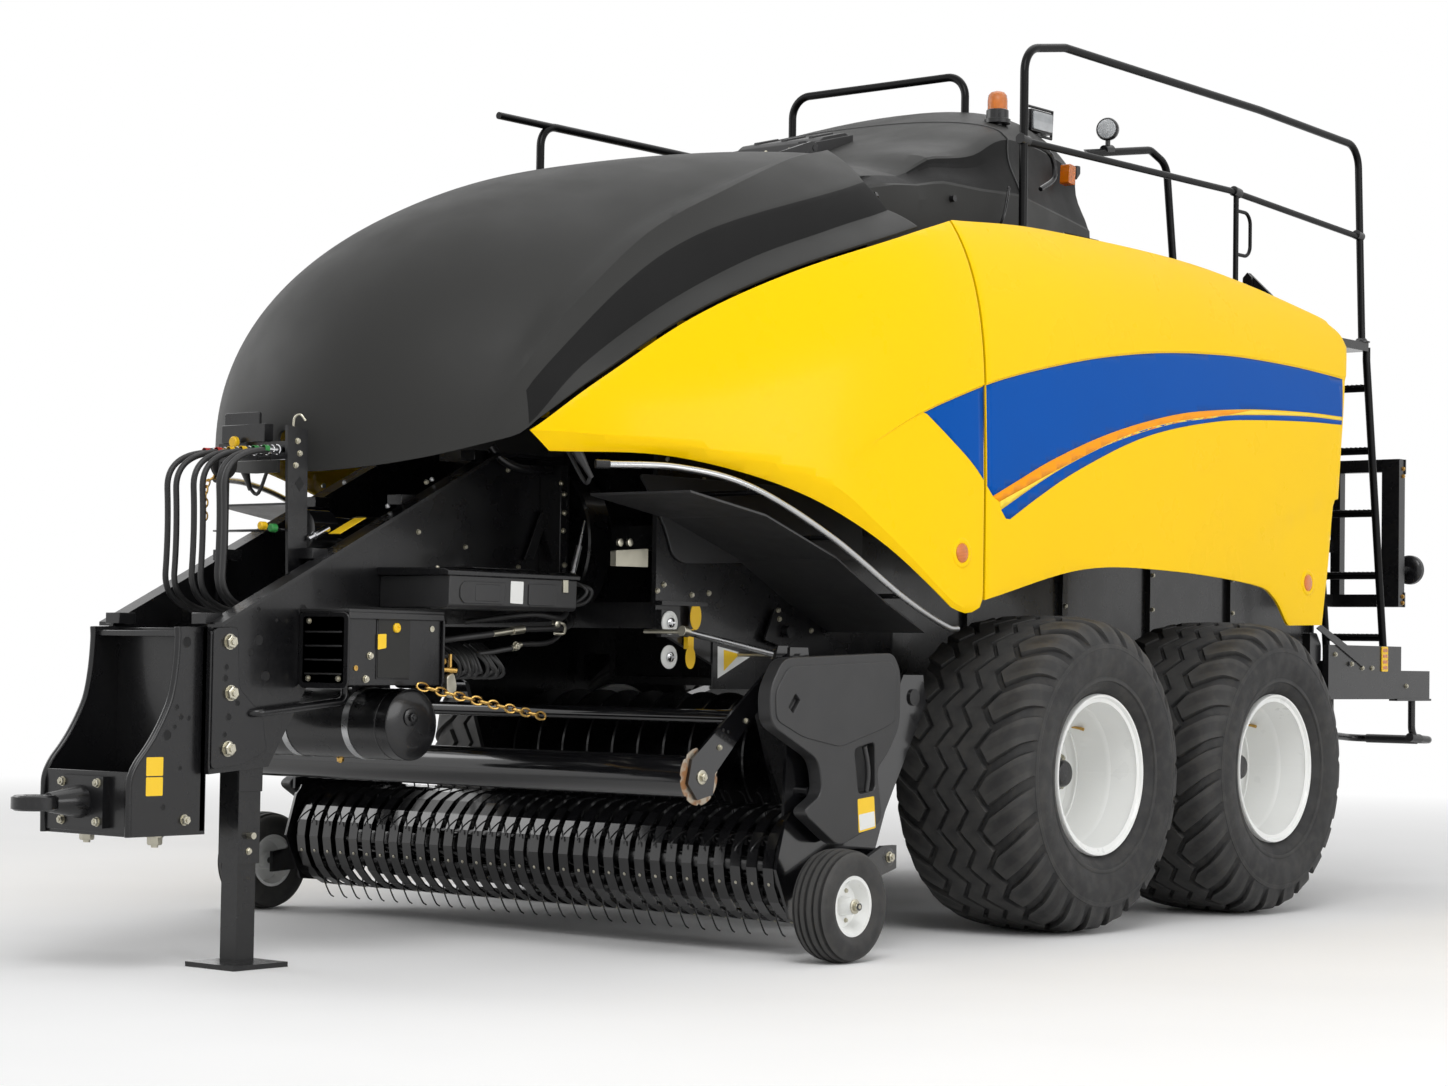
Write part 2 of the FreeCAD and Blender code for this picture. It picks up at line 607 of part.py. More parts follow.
reel_bars = []
for step in range(4):
    y, z = around("reel_y", "reel_z", "reel_radius-25", 45 + 90 * step)
    reel_bars.append(rod(16, "2*pickup_half-120", ("-(pickup_half-60)", y, z), "x"))
reel_tube = rod(60, "2*pickup_half-60", ("-(pickup_half-30)", "reel_y", "reel_z"), "x")
reel_discs = [rod("reel_radius", 12, (x, "reel_y", "reel_z"), "x")
              for x in ("-(pickup_half-50)", -6, "pickup_half-62")]
reel_bore = rod("reel_bore", "2*pickup_half", ("-pickup_half", "reel_y", "reel_z"), "x")
node("pickup_reel", cut(fuse(reel_tube, *reel_discs, *reel_bars), reel_bore))


def make_guard(x):
    """One curved band that wraps the front of the reel."""
    outer = "guard_radius"
    inner = "guard_radius-6"
    angles = list(range(90, 271, 18))
    points = [(f"reel_y+{tail}", f"reel_z+{outer}")]
    points += [around("reel_y", "reel_z", outer, angle) for angle in angles]
    points += [(f"reel_y+{tail}", f"reel_z-{outer}"), (f"reel_y+{tail}", f"reel_z-({inner})")]
    points += [around("reel_y", "reel_z", inner, angle) for angle in reversed(angles)]
    return plate(points + [(f"reel_y+{tail}", f"reel_z+{inner}")], 44, x)


guards = [make_guard(f"{index}*(pickup_half-48)/16-22") for index in range(-16, 17)]
node("pickup_guards", group(*guards))

end_outline = [(-1480, 300), (-1430, 460), (-1330, 560), (-1180, 640), (-960, 640), (-760, 960),
               (-640, 960),
               (-620, 860), (-860, 480), (-960, 250), (-1180, 110), (-1400, 130)]
end_plate = plate(end_outline, 12, "pickup_half")
reel_stub = rod("reel_bore-spindle_gap", 100, ("pickup_half-100", "reel_y", "reel_z"), "x")
lift_hole = rod("lift_bore", 40, ("pickup_half-10", "lift_y", "lift_z"), "x")
arm_hole = rod("arm_bore", 40, ("pickup_half-10", "arm_y", "arm_z"), "x")
mast = plate([(-1440, 480), (-1420, 1050), (-1320, 1050), (-1240, 560)], 12, "pickup_half")
back_sheet = wide_box("pickup_half", 6, 360, -1000, 130)
cross_tube = wide_box("pickup_half", 70, 90, -1000, 398)
top_sheet = wide_box("pickup_half", 210, 6, f"reel_y+{tail}-100", "reel_z+guard_radius-12")
low_sheet = wide_box("pickup_half", 160, 6, f"reel_y+{tail}-50", "reel_z-guard_radius+6")
shield_boss = [rod(18, 28, ("pickup_half+12", y, z), "x")
               for y, z in ((-1340, 560), (-1340, 900), (-1060, 560))]
gauge_boss = rod(30, "gauge_x-gauge_width/2-26-(pickup_half+12)", ("pickup_half+12", -1010, 330), "x")
end_left = cut(fuse(end_plate, mast), lift_hole, arm_hole)
rear_bracket = plate([(-1100, 260), (-1100, 420), (-940, 420), (-940, 290)], 12, "pickup_half")
side_left = fuse(end_left, reel_stub, *shield_boss, gauge_boss, rear_bracket)
node("pickup_frame", fuse(side_left, mirrored(side_left), cross_tube, back_sheet, top_sheet, low_sheet))

shield_outline = [(-1640, 790), (-1570, 1010), (-940, 1040), (-900, 990), (-900, 760), (-950, 690),
                  (-990, 610),
                  (-1000, 470), (-1230, 390), (-1460, 500), (-1390, 590), (-1430, 690)]
node("pickup_shields", pair(plate(shield_outline, 55, "pickup_half+40")))

gauge_inner = "gauge_x-gauge_width/2"
gauge_arm = plate([(-1440, "gauge_radius-40"), (-1440, "gauge_radius+40"), (-1360, "gauge_radius+50"),
                   (-1040, 370),
                   (-960, 370), (-960, 290), (-1040, 270), (-1330, "gauge_radius-35")], 16,
                   f"{gauge_inner}-26")
gauge_pin = rod("gauge_bore-spindle_gap", "gauge_width+30",
                (f"{gauge_inner}-20", "gauge_y", "gauge_radius"), "x")
node("gauge_arms", pair(fuse(gauge_arm, gauge_pin)))


def make_gauge_tyre(side):
    half = "gauge_width/2"
    points = [(f"-{half}+14", "gauge_radius-88"), (f"-{half}", "gauge_radius-60"),
              (f"-{half}+4", "gauge_radius-22"),
              (f"-{half}+30", "gauge_radius-3"), (0, "gauge_radius"), (f"{half}-30", "gauge_radius-3"),
              (f"{half}-4", "gauge_radius-22"), (half, "gauge_radius-60"),
              (f"{half}-14", "gauge_radius-88")]
    return turned(points, (f"{side}*gauge_x", "gauge_y", "gauge_radius"))


def make_gauge_rim(side):
    rim = "gauge_radius-88.3"
    half = "gauge_width/2-16"
    points = [(f"-({half})", rim), (f"-({half})", "gauge_radius-100"), (-14, "gauge_radius-112"),
              (-14, 34), (-40, 34),
              (-40, "gauge_bore"), (62, "gauge_bore"), (62, 26), (14, 34), (14, "gauge_radius-118"),
              (half, "gauge_radius-100"), (half, rim)]
    flip = points if side > 0 else [(f"-({a})", b) for a, b in reversed(points)]
    return turned(flip, (f"{side}*gauge_x", "gauge_y", "gauge_radius"))


for name, side in (("left", 1), ("right", -1)):
    node(f"gauge_tyre_{name}", make_gauge_tyre(side))
    node(f"gauge_rim_{name}", make_gauge_rim(side))

# wind guard: a roller across the crop on two swinging arms
arm_outline = [("arm_y-45", "arm_z-20"), ("arm_y-20", "arm_z+45"), ("arm_y+35", "arm_z+45"),
               ("arm_y+45", "arm_z-20"),
               ("roller_y+70", "roller_z+10"), ("roller_y+60", "roller_z-60"),
               ("roller_y-20", "roller_z-75"),
               ("roller_y-70", "roller_z-20"), ("roller_y-50", "roller_z+60")]
roller_end = "pickup_half-75"
arm_plate = plate(arm_outline, 12, roller_end)
roller_stub = rod("reel_bore-spindle_gap", 60, (f"{roller_end}-60", "roller_y", "roller_z"), "x")
arm_pin = rod("arm_bore-spindle_gap", 100, (roller_end, "arm_y", "arm_z"), "x")
arm_left = fuse(arm_plate, roller_stub, arm_pin)
arm_tie = rod(24, f"2*({roller_end})", (f"-({roller_end})", "(arm_y+roller_y)/2", "(arm_z+roller_z)/2"),
              "x")
node("windguard_arms", fuse(arm_left, mirrored(arm_left), arm_tie))
roller = rod("roller_radius", f"2*({roller_end}-5)", (f"-({roller_end}-5)", "roller_y", "roller_z"), "x")
roller_hole = rod("reel_bore", f"2*({roller_end})", (f"-({roller_end})", "roller_y", "roller_z"), "x")
node("crop_roller", cut(roller, roller_hole))

# feed rotor between the cheeks
rotor_ends = "cheek_offset-3"
rotor_tube = rod(110, f"2*({rotor_ends})", (f"-({rotor_ends})", "rotor_y", "rotor_z"), "x")
rotor_discs = [rod("rotor_radius", 10, (-640 + 128 * index - 5, "rotor_y", "rotor_z"), "x")
               for index in range(11)]
rotor_hole = rod("spindle_radius+spindle_gap", "2*cheek_offset", ("-cheek_offset", "rotor_y", "rotor_z"),
                 "x")
node("feed_rotor", cut(fuse(rotor_tube, *rotor_discs), rotor_hole))
lift_pins = pair(rod("lift_bore-spindle_gap", "pickup_half+20-(cheek_offset+plate)",
                     ("cheek_offset+plate", "lift_y", "lift_z"), "x"))
node("feed_shafts", group(rod("spindle_radius", "2*cheek_offset", ("-cheek_offset", "rotor_y", "rotor_z"),
                              "x"), lift_pins))

# ---------------------------------------------------------------- fenders and guard rails
fender_line = [(-1900, 1560), (-1500, 1500), (-1100, 1370), (-800, 1220), (-560, 1120)]
fender = plate(fender_line + [(y + 3, z - 8) for y, z in reversed(fender_line)], 440, "cheek_offset+plate")
node("inner_fenders", pair(fender))
guard_rail = tube([(940, -2100, 1640), (1060, -1840, 1640), (1140, -1560, 1590), (1190, -1180, 1440),
                   (1215, -780, 1240),
                   (1220, -520, 1140), (1220, -440, 1130)], 14, 120)
stays = [rod(9, f"{x}-(cheek_offset+plate)", ("cheek_offset+plate", y, z), "x")
         for x, y, z in ((1140, -1500, 1573), (1190, -1160, 1435), (1215, -780, 1240))]
node("guard_rails", pair(fuse(guard_rail, *stays)))
node("twine_boxes", pair(box(("1060-(bale_width/2+wall)", 1900, 800), ("bale_width/2+wall", -100, 1480))))

# ---------------------------------------------------------------- platform, rails and ladder
deck = wide_box("deck_half", "deck_rear-deck_front", 40, "deck_front", "deck_z")
deck_legs = [box((60, 60, "deck_z-(chamber_floor+bale_height+wall)"),
                 (x, y, "chamber_floor+bale_height+wall"))
             for x in ("-bale_width/2", "bale_width/2-60") for y in (1700, 2900)]
node("platform", fuse(deck, *deck_legs, deck_bracket, mirrored(deck_bracket)))

rail_x = "deck_half-25"
top_rail = tube([(rail_x, 330, 2280), (rail_x, 330, "rail_top-20"), (rail_x, 620, "rail_top+30"),
                 (rail_x, 2200, "rail_top+20"),
                 (rail_x, 3130, "rail_top-10"), (rail_x, 3180, "deck_z+40")], "rail_radius", 110)
middle_rail = tube([(rail_x, 330, "rail_middle+25"), (rail_x, 1950, "rail_middle+40"),
                    (rail_x, 3151, "rail_middle-20")],
                   "rail_radius-3", 300)
middle_post = rod("rail_radius-5", "rail_middle+40-deck_z", (rail_x, 2000, "deck_z"))
middle_loop = tube([(rail_x, 2004, 2990), (rail_x, 2125, 2990), (rail_x, 2125, 2800),
                    (rail_x, 2004, 2800)], 8, 50)
rail_left = cut(fuse(top_rail, middle_rail, middle_post, middle_loop), deck)
right_x = f"-({rail_x})"
low_rail = tube([(-880, -345, 2530), (right_x, -345, 2530), (right_x, -345, "rail_low"),
                 (right_x, 600, "rail_low"),
                 (right_x, 3130, "rail_low-10"), (right_x, 3180, "deck_z+40")], "rail_radius", 90)
low_grip = tube([(right_x, -600, "rail_low"), (right_x, -230, "rail_low")], "rail_radius-2")
low_post = rod("rail_radius-5", "rail_low-deck_z", (right_x, 2000, "deck_z"))
rail_right = cut(fuse(low_rail, low_grip, low_post), deck)
node("handrails", group(rail_left, rail_right))
front_hoop = tube([(-620, 900, 3100), (-620, 900, 3480), (300, 900, 3480), (300, 900, 3200)],
                  "rail_radius", 90)
rear_hoop = tube([(600, 1150, 3150), (600, 1900, 3276), (600, 2040, 3230), (600, 2150, "deck_z+20")],
                 "rail_radius", 90)
node("grab_hoop", group(cut(front_hoop, cover_block), cut(rear_hoop, cover_block, deck)))
beacon = fuse(rod(45, 260, (620, 670, 3080)), rod(52, 18, (620, 670, 3215)))
work_light = box((120, 60, 300), (440, 1120, 3050))
round_lamp = fuse(rod(14, 300, (470, 1400, 3040)), rod(45, 60, (470, 1375, 3330), "y"))
roof_lamps = [cut(item, cover_block) for item in (beacon, work_light, round_lamp)]

stiles = [tube([(x, "deck_rear+18.3", "deck_z+20"), (x, "deck_rear+18.3", "deck_z-40"), (x, 3420, 1000)],
               18, 120)
          for x in ("ladder_x", "ladder_x+ladder_width")]
rungs = [rod(14, "ladder_width", ("ladder_x", 3219 + 201 * (2440 - z) / 1440, z), "x") for z in (1150,
    1440, 1730, 2020, 2310)]
ladder_raw = fuse(*stiles, *rungs)

# ---------------------------------------------------------------- rear frame, chute, bumper and lamps
rear_post = box((90, 60, 700), (910, 3520, 1300))
rear_inner = box((50, 50, 700), ("bale_width/2+wall+10", 3525, 1300))
rear_beams = [box(("970-(bale_width/2+wall+10)", 50, 60),
                  ("bale_width/2+wall+10", 3525, z)) for z in (1300, 1940)]
rear_ties = [box((25, 425, 60), ("bale_width/2+wall", 3150, z)) for z in (1300, 1560)]
rear_side = fuse(rear_post, rear_inner, *rear_beams, *rear_ties)
node("rear_frame", pair(rear_side))
chute_rails = [box((50, 90, "chute_length"), (x, "chute_y-20", "chute_z"))
               for x in ("-(bale_width/2-40)", "bale_width/2-90")]
chute_rollers = [rod(28, "bale_width-170", ("-(bale_width/2-85)", "chute_y+25", f"chute_z+{height}"), "x")
                 for height in (170, 320, 470, 620)]
chute_hole = rod("reel_bore", "bale_width", ("-bale_width/2", "chute_y+25", "chute_z+40"), "x")
node("bale_chute", cut(fuse(*chute_rails, *chute_rollers), chute_hole))
bumper_side = box((30, 700, 240), (1170, 2450, 870))
bumper_corner = box((30, 290, 130), (1170, 3150, 870))
bumper_rear = box(("1200-(bale_width/2+wall)", 40, 130), ("bale_width/2+wall", 3400, 870))
bumper_arms = [box(("1170-(bale_width/2+wall)", 60, 120), ("bale_width/2+wall", y, 920)) for y in (2500,
    3100)]
bumper_link = box((60, 240, 80), ("bale_width/2+wall", 3160, 900))
bumper_step = tube([(700, 3420, 872), (700, 3420, 690), (700, 3640, 675), (1120, 3640, 675),
                    (1120, 3420, 690),
                    (1120, 3420, 872)], 17, 60)
bumper = node("rear_bumper", pair(fuse(bumper_side, bumper_corner, bumper_rear, bumper_link, *bumper_arms,
                                       bumper_step)))
node("ladder", cut(ladder_raw, bumper))
lamp = fuse(rod(70, 50, (980, "rear_end-50", 1480), "y"), rod(18, 80, (980, 3580, 1480), "y"))
node("lamps", group(lamp, mirrored(lamp), *roof_lamps))
chute_ear = plate([("chamber_rear", 930), ("chamber_rear", 1060), (3450, 1030), (3450, 940)], 55,
                  "bale_width/2-28")
chute_pin = rod("reel_bore-spindle_gap", 70, ("bale_width/2-95", "chute_y+25", "chute_z+40"), "x")
node("chute_hinges", pair(fuse(chute_ear, chute_pin)))

doc.recompute()
broken = [item.Name for item in doc.Objects if {"Invalid", "Error"} & set(item.State)]
broken += [name for name, item in NODES.items() if item.Shape.isNull() or not item.Shape.isValid()]
if broken:
    raise SystemExit("failed: " + ", ".join(broken))

os.makedirs("parts", exist_ok=True)
for name, item in NODES.items():
    item.Shape.exportStep(f"parts/{name}.step")
    print(name, len(item.Shape.Solids), round(item.Shape.Volume / 1e6, 2))
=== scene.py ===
"""Large square baler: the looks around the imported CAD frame. Metres; +X machine's left, -Y front, +Z up."""
import math

import bmesh
import bpy
from mathutils import Matrix, Vector


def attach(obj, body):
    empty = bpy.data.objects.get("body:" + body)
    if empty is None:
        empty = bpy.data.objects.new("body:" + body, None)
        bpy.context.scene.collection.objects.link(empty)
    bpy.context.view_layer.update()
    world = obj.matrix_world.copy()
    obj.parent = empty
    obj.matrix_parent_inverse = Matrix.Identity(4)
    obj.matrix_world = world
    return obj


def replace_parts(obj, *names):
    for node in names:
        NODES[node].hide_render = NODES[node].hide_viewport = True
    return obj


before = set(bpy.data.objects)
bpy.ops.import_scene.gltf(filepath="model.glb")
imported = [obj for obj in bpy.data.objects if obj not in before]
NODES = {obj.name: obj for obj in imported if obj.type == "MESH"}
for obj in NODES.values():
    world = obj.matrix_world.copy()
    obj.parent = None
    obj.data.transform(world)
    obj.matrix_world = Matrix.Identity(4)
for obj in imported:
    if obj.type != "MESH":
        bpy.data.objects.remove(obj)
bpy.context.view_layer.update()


def linked(name, data):
    """A new object in the scene."""
    item = bpy.data.objects.new(name, data)
    bpy.context.scene.collection.objects.link(item)
    return item


# ---------------------------------------------------------------- camera
SENSOR_MM, LENS_MM = 36.0, 74.585635
STAND = (7.463, -9.461, 1.007)
AZIMUTH, TILT, ROLL = 39.154, 2.214, 0.867


def make_camera():
    """The camera: in front of the machine and to its left, at about the height of the drawbar."""
    azimuth, tilt, roll = (math.radians(angle) for angle in (AZIMUTH, TILT, ROLL))
    forward = Vector((-math.sin(azimuth) * math.cos(tilt), math.cos(azimuth) * math.cos(tilt), math.sin(tilt)))
    level = Vector((math.cos(azimuth), math.sin(azimuth), 0))
    upward = level.cross(forward)
    right = level * math.cos(roll) + upward * math.sin(roll)
    top = -level * math.sin(roll) + upward * math.cos(roll)
    data = bpy.data.cameras.new("camera")
    data.sensor_width = SENSOR_MM
    data.lens = LENS_MM
    camera = linked("camera", data)
    camera.matrix_world = Matrix.Translation(STAND) @ Matrix((right, top, -forward)).transposed().to_4x4()
    bpy.context.scene.camera = camera


make_camera()


# ---------------------------------------------------------------- materials
def linear(r, g, b):
    """A colour given as it looks on screen, 0 to 255, as the shader's numbers."""
    screen = (r / 255, g / 255, b / 255)
    return tuple(c / 12.92 if c <= 0.04045 else ((c + 0.055) / 1.055) ** 2.4 for c in screen) + (1.0,)


class Shader:
    """A Principled material whose colour, roughness and bump come from noise laid out in the piece's own frame."""

    def __init__(self, name, metal=0.0, specular=0.5, coat=0.0, coat_rough=0.1):
        self.material = bpy.data.materials.new(name)
        self.material.use_nodes = True
        self.tree = self.material.node_tree
        self.tree.nodes.clear()
        self.out = self.add("ShaderNodeOutputMaterial")
        self.bsdf = self.add("ShaderNodeBsdfPrincipled")
        self.link(self.bsdf.outputs["BSDF"], self.out.inputs["Surface"])
        self.bsdf.inputs["Metallic"].default_value = metal
        self.bsdf.inputs["Specular IOR Level"].default_value = specular
        self.bsdf.inputs["Coat Weight"].default_value = coat
        self.bsdf.inputs["Coat Roughness"].default_value = coat_rough
        self.place = self.add("ShaderNodeTexCoord").outputs["Object"]

    def add(self, kind, **settings):
        node = self.tree.nodes.new(kind)
        for field, setting in settings.items():
            setattr(node, field, setting)
        return node

    def link(self, start, end):
        self.tree.links.new(start, end)

    def noise(self, scale, detail=3.0):
        node = self.add("ShaderNodeTexNoise")
        node.inputs["Scale"].default_value = scale
        node.inputs["Detail"].default_value = detail
        self.link(self.place, node.inputs["Vector"])
        return node.outputs["Fac"]

    def remap(self, source, low, high, out_low, out_high):
        node = self.add("ShaderNodeMapRange")
        for field, number in zip(("From Min", "From Max", "To Min", "To Max"), (low, high, out_low, out_high)):
            node.inputs[field].default_value = number
        self.link(source, node.inputs["Value"])
        return node.outputs["Result"]

    def feed(self, sockets, items):
        """Each item into its socket: a number or colour as it is, anything else as a link."""
        for socket, item in zip(sockets, items):
            if isinstance(item, (float, tuple)):
                socket.default_value = item
            else:
                self.link(item, socket)

    def math(self, operation, a, b):
        node = self.add("ShaderNodeMath", operation=operation)
        self.feed(node.inputs, (a, b))
        return node.outputs["Value"]

    def mix(self, factor, a, b):
        """Colour a where the factor is 0, b where it is 1."""
        node = self.add("ShaderNodeMix", data_type="RGBA")
        self.feed((node.inputs[0], *node.inputs[6:8]), (factor, a, b))
        return node.outputs[2]

    def colour(self, source):
        self.link(source, self.bsdf.inputs["Base Color"])

    def rough(self, source):
        self.link(source, self.bsdf.inputs["Roughness"])

    def bump(self, height, distance):
        node = self.add("ShaderNodeBump")
        node.inputs["Distance"].default_value = distance
        node.inputs["Strength"].default_value = 1.0
        self.link(height, node.inputs["Height"])
        self.link(node.outputs["Normal"], self.bsdf.inputs["Normal"])

    def edges(self, low=0.52, high=0.6):
        """One on sharp outer edges, nothing on flats and in corners."""
        return self.remap(self.add("ShaderNodeNewGeometry").outputs["Pointiness"], low, high, 0.0, 1.0)


def scaled(colour, factor):
    return tuple(min(1.0, part * factor) for part in colour[:3]) + (1.0,)


def finish(name, colour, rough, tone=0.08, tone_scale=2.0, grain=0.0, grain_scale=400.0, wear=None, wear_amount=0.05,
           dust=0.06, dust_colour=(150, 143, 128), **settings):
    """A paint, plastic or metal: clouded tone, uneven gloss, fine grain, worn edges and a little settled dust."""
    shade = Shader(name, **settings)
    colour = linear(*colour)
    cloud = shade.noise(tone_scale, 4.0)
    base = shade.mix(shade.remap(cloud, 0.3, 0.7, 0.0, 1.0), scaled(colour, 1.0 - tone),
                     scaled(colour, 1.0 + tone * 0.5))
    if dust:
        up = shade.add("ShaderNodeSeparateXYZ")
        shade.link(shade.add("ShaderNodeNewGeometry").outputs["Normal"], up.inputs["Vector"])
        speck = shade.remap(shade.noise(9.0, 6.0), 0.42, 0.68, 0.0, dust)
        flat = shade.remap(up.outputs["Z"], 0.2, 1.0, 0.35, 1.0)
        base = shade.mix(shade.math("MULTIPLY", speck, flat), base, linear(*dust_colour))
    if wear:
        chips = shade.remap(shade.noise(60.0, 5.0), 0.45, 0.6, 0.0, wear_amount)
        base = shade.mix(shade.math("MULTIPLY", shade.edges(), chips), base, linear(*wear))
    shade.colour(base)
    shade.rough(shade.remap(shade.noise(tone_scale * 4.0, 5.0), 0.3, 0.7, rough[0], rough[1]))
    if grain:
        shade.bump(shade.noise(grain_scale, 2.0), grain)
    return shade.material


M = {
    "yellow": finish("paint_yellow", (255, 207, 0), (0.26, 0.32), 0.012, tone_scale=1.1, grain=0.00003,
                     grain_scale=300.0, dust=0.0, specular=0.1, coat=0.03, coat_rough=0.1),
    "blue": finish("vinyl_blue", (0, 80, 168), (0.28, 0.34), 0.03, grain=0.00003, grain_scale=300.0, dust=0.0,
                   specular=0.06, coat=0.01),
    "orange": finish("vinyl_orange", (255, 160, 22), (0.28, 0.34), 0.03, dust=0.0, specular=0.1, coat=0.03),
    "light_yellow": finish("vinyl_light_yellow", (255, 222, 74), (0.28, 0.34), 0.02, dust=0.0, specular=0.1, coat=0.03),
    "charcoal": finish("moulded_charcoal", (50, 50, 49), (0.46, 0.56), 0.06, tone_scale=1.2, grain=0.00035,
                       grain_scale=650.0, dust=0.012, dust_colour=(84, 83, 81), specular=0.16),
    # painted shade: a darker moulding laid on the hood's band and the cover's channel in place of the shade those faces
    # get
    "painted_band_shade": finish("moulded_painted_band_shade", (24, 24, 24), (0.52, 0.62), 0.06, tone_scale=1.2, grain=0.0004,
                      grain_scale=650.0, dust=0.0, specular=0.12),
    "moulded": finish("moulded_black", (37, 37, 38), (0.38, 0.5), 0.05, grain=0.0003, grain_scale=520.0, dust=0.015,
                      wear=(80, 80, 79), wear_amount=0.06),
    "frame": finish("paint_black", (17, 17, 19), (0.24, 0.32), 0.05, grain=0.00002, grain_scale=220.0, dust=0.012,
                    wear=(80, 79, 77), specular=0.38, coat=0.22, coat_rough=0.1),
    "rail": finish("paint_black_rail", (10, 10, 11), (0.26, 0.36), 0.05, grain=0.00002, grain_scale=220.0, dust=0.0,
                   specular=0.14, coat=0.04),
    "gloss": finish("paint_black_gloss", (16, 16, 18), (0.1, 0.18), 0.05, grain=0.00005, grain_scale=160.0,
                    dust=0.006, coat=0.6, coat_rough=0.06),
    "white": finish("rim_white", (236, 237, 235), (0.26, 0.38), 0.03, grain=0.00012, grain_scale=110.0, dust=0.02,
                    dust_colour=(190, 187, 178), coat=0.2),
    "hose": finish("hose_rubber", (30, 30, 31), (0.42, 0.56), 0.1, grain=0.0003, grain_scale=900.0, dust=0.03),
    "steel": finish("steel_bright", (186, 187, 188), (0.22, 0.36), 0.1, grain=0.00015, grain_scale=300.0, dust=0.06,
                    metal=1.0),
    "zinc": finish("zinc_plated", (190, 186, 170), (0.28, 0.46), 0.16, tone_scale=14.0, grain=0.0002,
                   grain_scale=500.0, dust=0.08, metal=1.0),
    "chrome": finish("chrome", (214, 215, 217), (0.06, 0.12), 0.03, dust=0.02, metal=1.0),
    "brass": finish("brass_fitting", (196, 158, 88), (0.24, 0.38), 0.12, tone_scale=20.0, dust=0.05, metal=1.0),
    "label_yellow": finish("label_yellow", (250, 205, 30), (0.3, 0.4), 0.03, grain=0.00005, dust=0.03),
    "label_white": finish("label_white", (232, 233, 230), (0.34, 0.44), 0.03, grain=0.00005, dust=0.03),
    "cap_red": finish("cap_red", (190, 34, 28), (0.3, 0.4), 0.06, dust=0.03),
    "cap_green": finish("cap_green", (40, 128, 58), (0.3, 0.4), 0.06, dust=0.03),
    "cap_yellow": finish("cap_yellow", (244, 196, 22), (0.3, 0.4), 0.05, dust=0.03),
    "hole": finish("hole_shadow", (7, 7, 8), (0.7, 0.85), 0.1, dust=0.0),
}


def make_rubber():
    """Tyre rubber: dull, faint brown dust in patches, lighter on sharp edges, fine moulded grain."""
    shade = Shader("tyre_rubber", specular=0.38)
    base = shade.mix(shade.remap(shade.noise(3.0, 5.0), 0.35, 0.65, 0.0, 1.0), linear(33, 33, 34), linear(44, 44, 44))
    dusty = shade.remap(shade.noise(22.0, 6.0), 0.45, 0.7, 0.0, 0.16)
    base = shade.mix(dusty, base, linear(92, 88, 82))
    shade.colour(shade.mix(shade.math("MULTIPLY", shade.edges(0.505, 0.56), 0.35), base, linear(88, 87, 85)))
    shade.rough(shade.remap(shade.noise(14.0, 4.0), 0.3, 0.7, 0.58, 0.74))
    shade.bump(shade.noise(700.0, 2.0), 0.0005)
    return shade.material


def make_rusty():
    """A bare steel face with brown bloom."""
    shade = Shader("steel_rusty")
    bloom = shade.remap(shade.noise(26.0, 7.0), 0.44, 0.6, 0.0, 1.0)
    shade.colour(shade.mix(bloom, linear(176, 166, 150), linear(142, 98, 58)))
    shade.link(shade.remap(bloom, 0.0, 1.0, 0.85, 0.05), shade.bsdf.inputs["Metallic"])
    shade.rough(shade.remap(bloom, 0.0, 1.0, 0.34, 0.72))
    shade.bump(shade.noise(240.0, 4.0), 0.0006)
    return shade.material


def make_lens(name, colour, ribs=None):
    """Coloured lamp plastic with moulded ribs, glowing faintly where it is thin."""
    shade = Shader(name, coat=0.5, coat_rough=0.04)
    shade.bsdf.inputs["Transmission Weight"].default_value = 0.35
    shade.bsdf.inputs["IOR"].default_value = 1.49
    shade.colour(shade.mix(shade.remap(shade.noise(18.0, 3.0), 0.3, 0.7, 0.0, 1.0), scaled(colour, 0.8), colour))
    shade.rough(shade.remap(shade.noise(30.0, 2.0), 0.3, 0.7, 0.08, 0.16))
    if ribs:
        wave = shade.add("ShaderNodeTexWave", bands_direction=ribs)
        wave.inputs["Scale"].default_value = 60.0
        shade.link(shade.place, wave.inputs["Vector"])
        shade.bump(wave.outputs["Fac"], 0.0012)
    return shade.material


M["rubber"] = make_rubber()
M["rusty"] = make_rusty()
M["amber"] = make_lens("lens_amber", linear(255, 140, 8), "Z")
M["red"] = make_lens("lens_red", linear(196, 22, 16), "X")
M["clear"] = make_lens("lens_clear", linear(226, 230, 233), "X")


# ---------------------------------------------------------------- building pieces
X, Y, Z = (1, 0, 0), (0, 1, 0), (0, 0, 1)
FORE, DOWN = (0, -1, 0), (0, 0, -1)
SIDES = (("left", 1), ("right", -1))


def mesh_of(name, verts, faces, merge=0.0, upright=False):
    """A mesh with its faces turned outwards, or its topmost face up; merge joins corners nearer than that."""
    data = bpy.data.meshes.new(name)
    data.from_pydata(verts, [], faces)
    return turned(data, merge, upright)


def turned(data, merge=0.0, upright=False):
    mesh = bmesh.new()
    mesh.from_mesh(data)
    if merge:
        bmesh.ops.remove_doubles(mesh, verts=mesh.verts, dist=merge)
        bmesh.ops.dissolve_degenerate(mesh, edges=mesh.edges, dist=1e-5)
    bmesh.ops.recalc_face_normals(mesh, faces=mesh.faces)
    if upright and max(mesh.faces, key=lambda face: face.calc_center_median().z).normal.z < 0:
        bmesh.ops.reverse_faces(mesh, faces=mesh.faces)
    mesh.to_mesh(data)
    mesh.free()
    return data


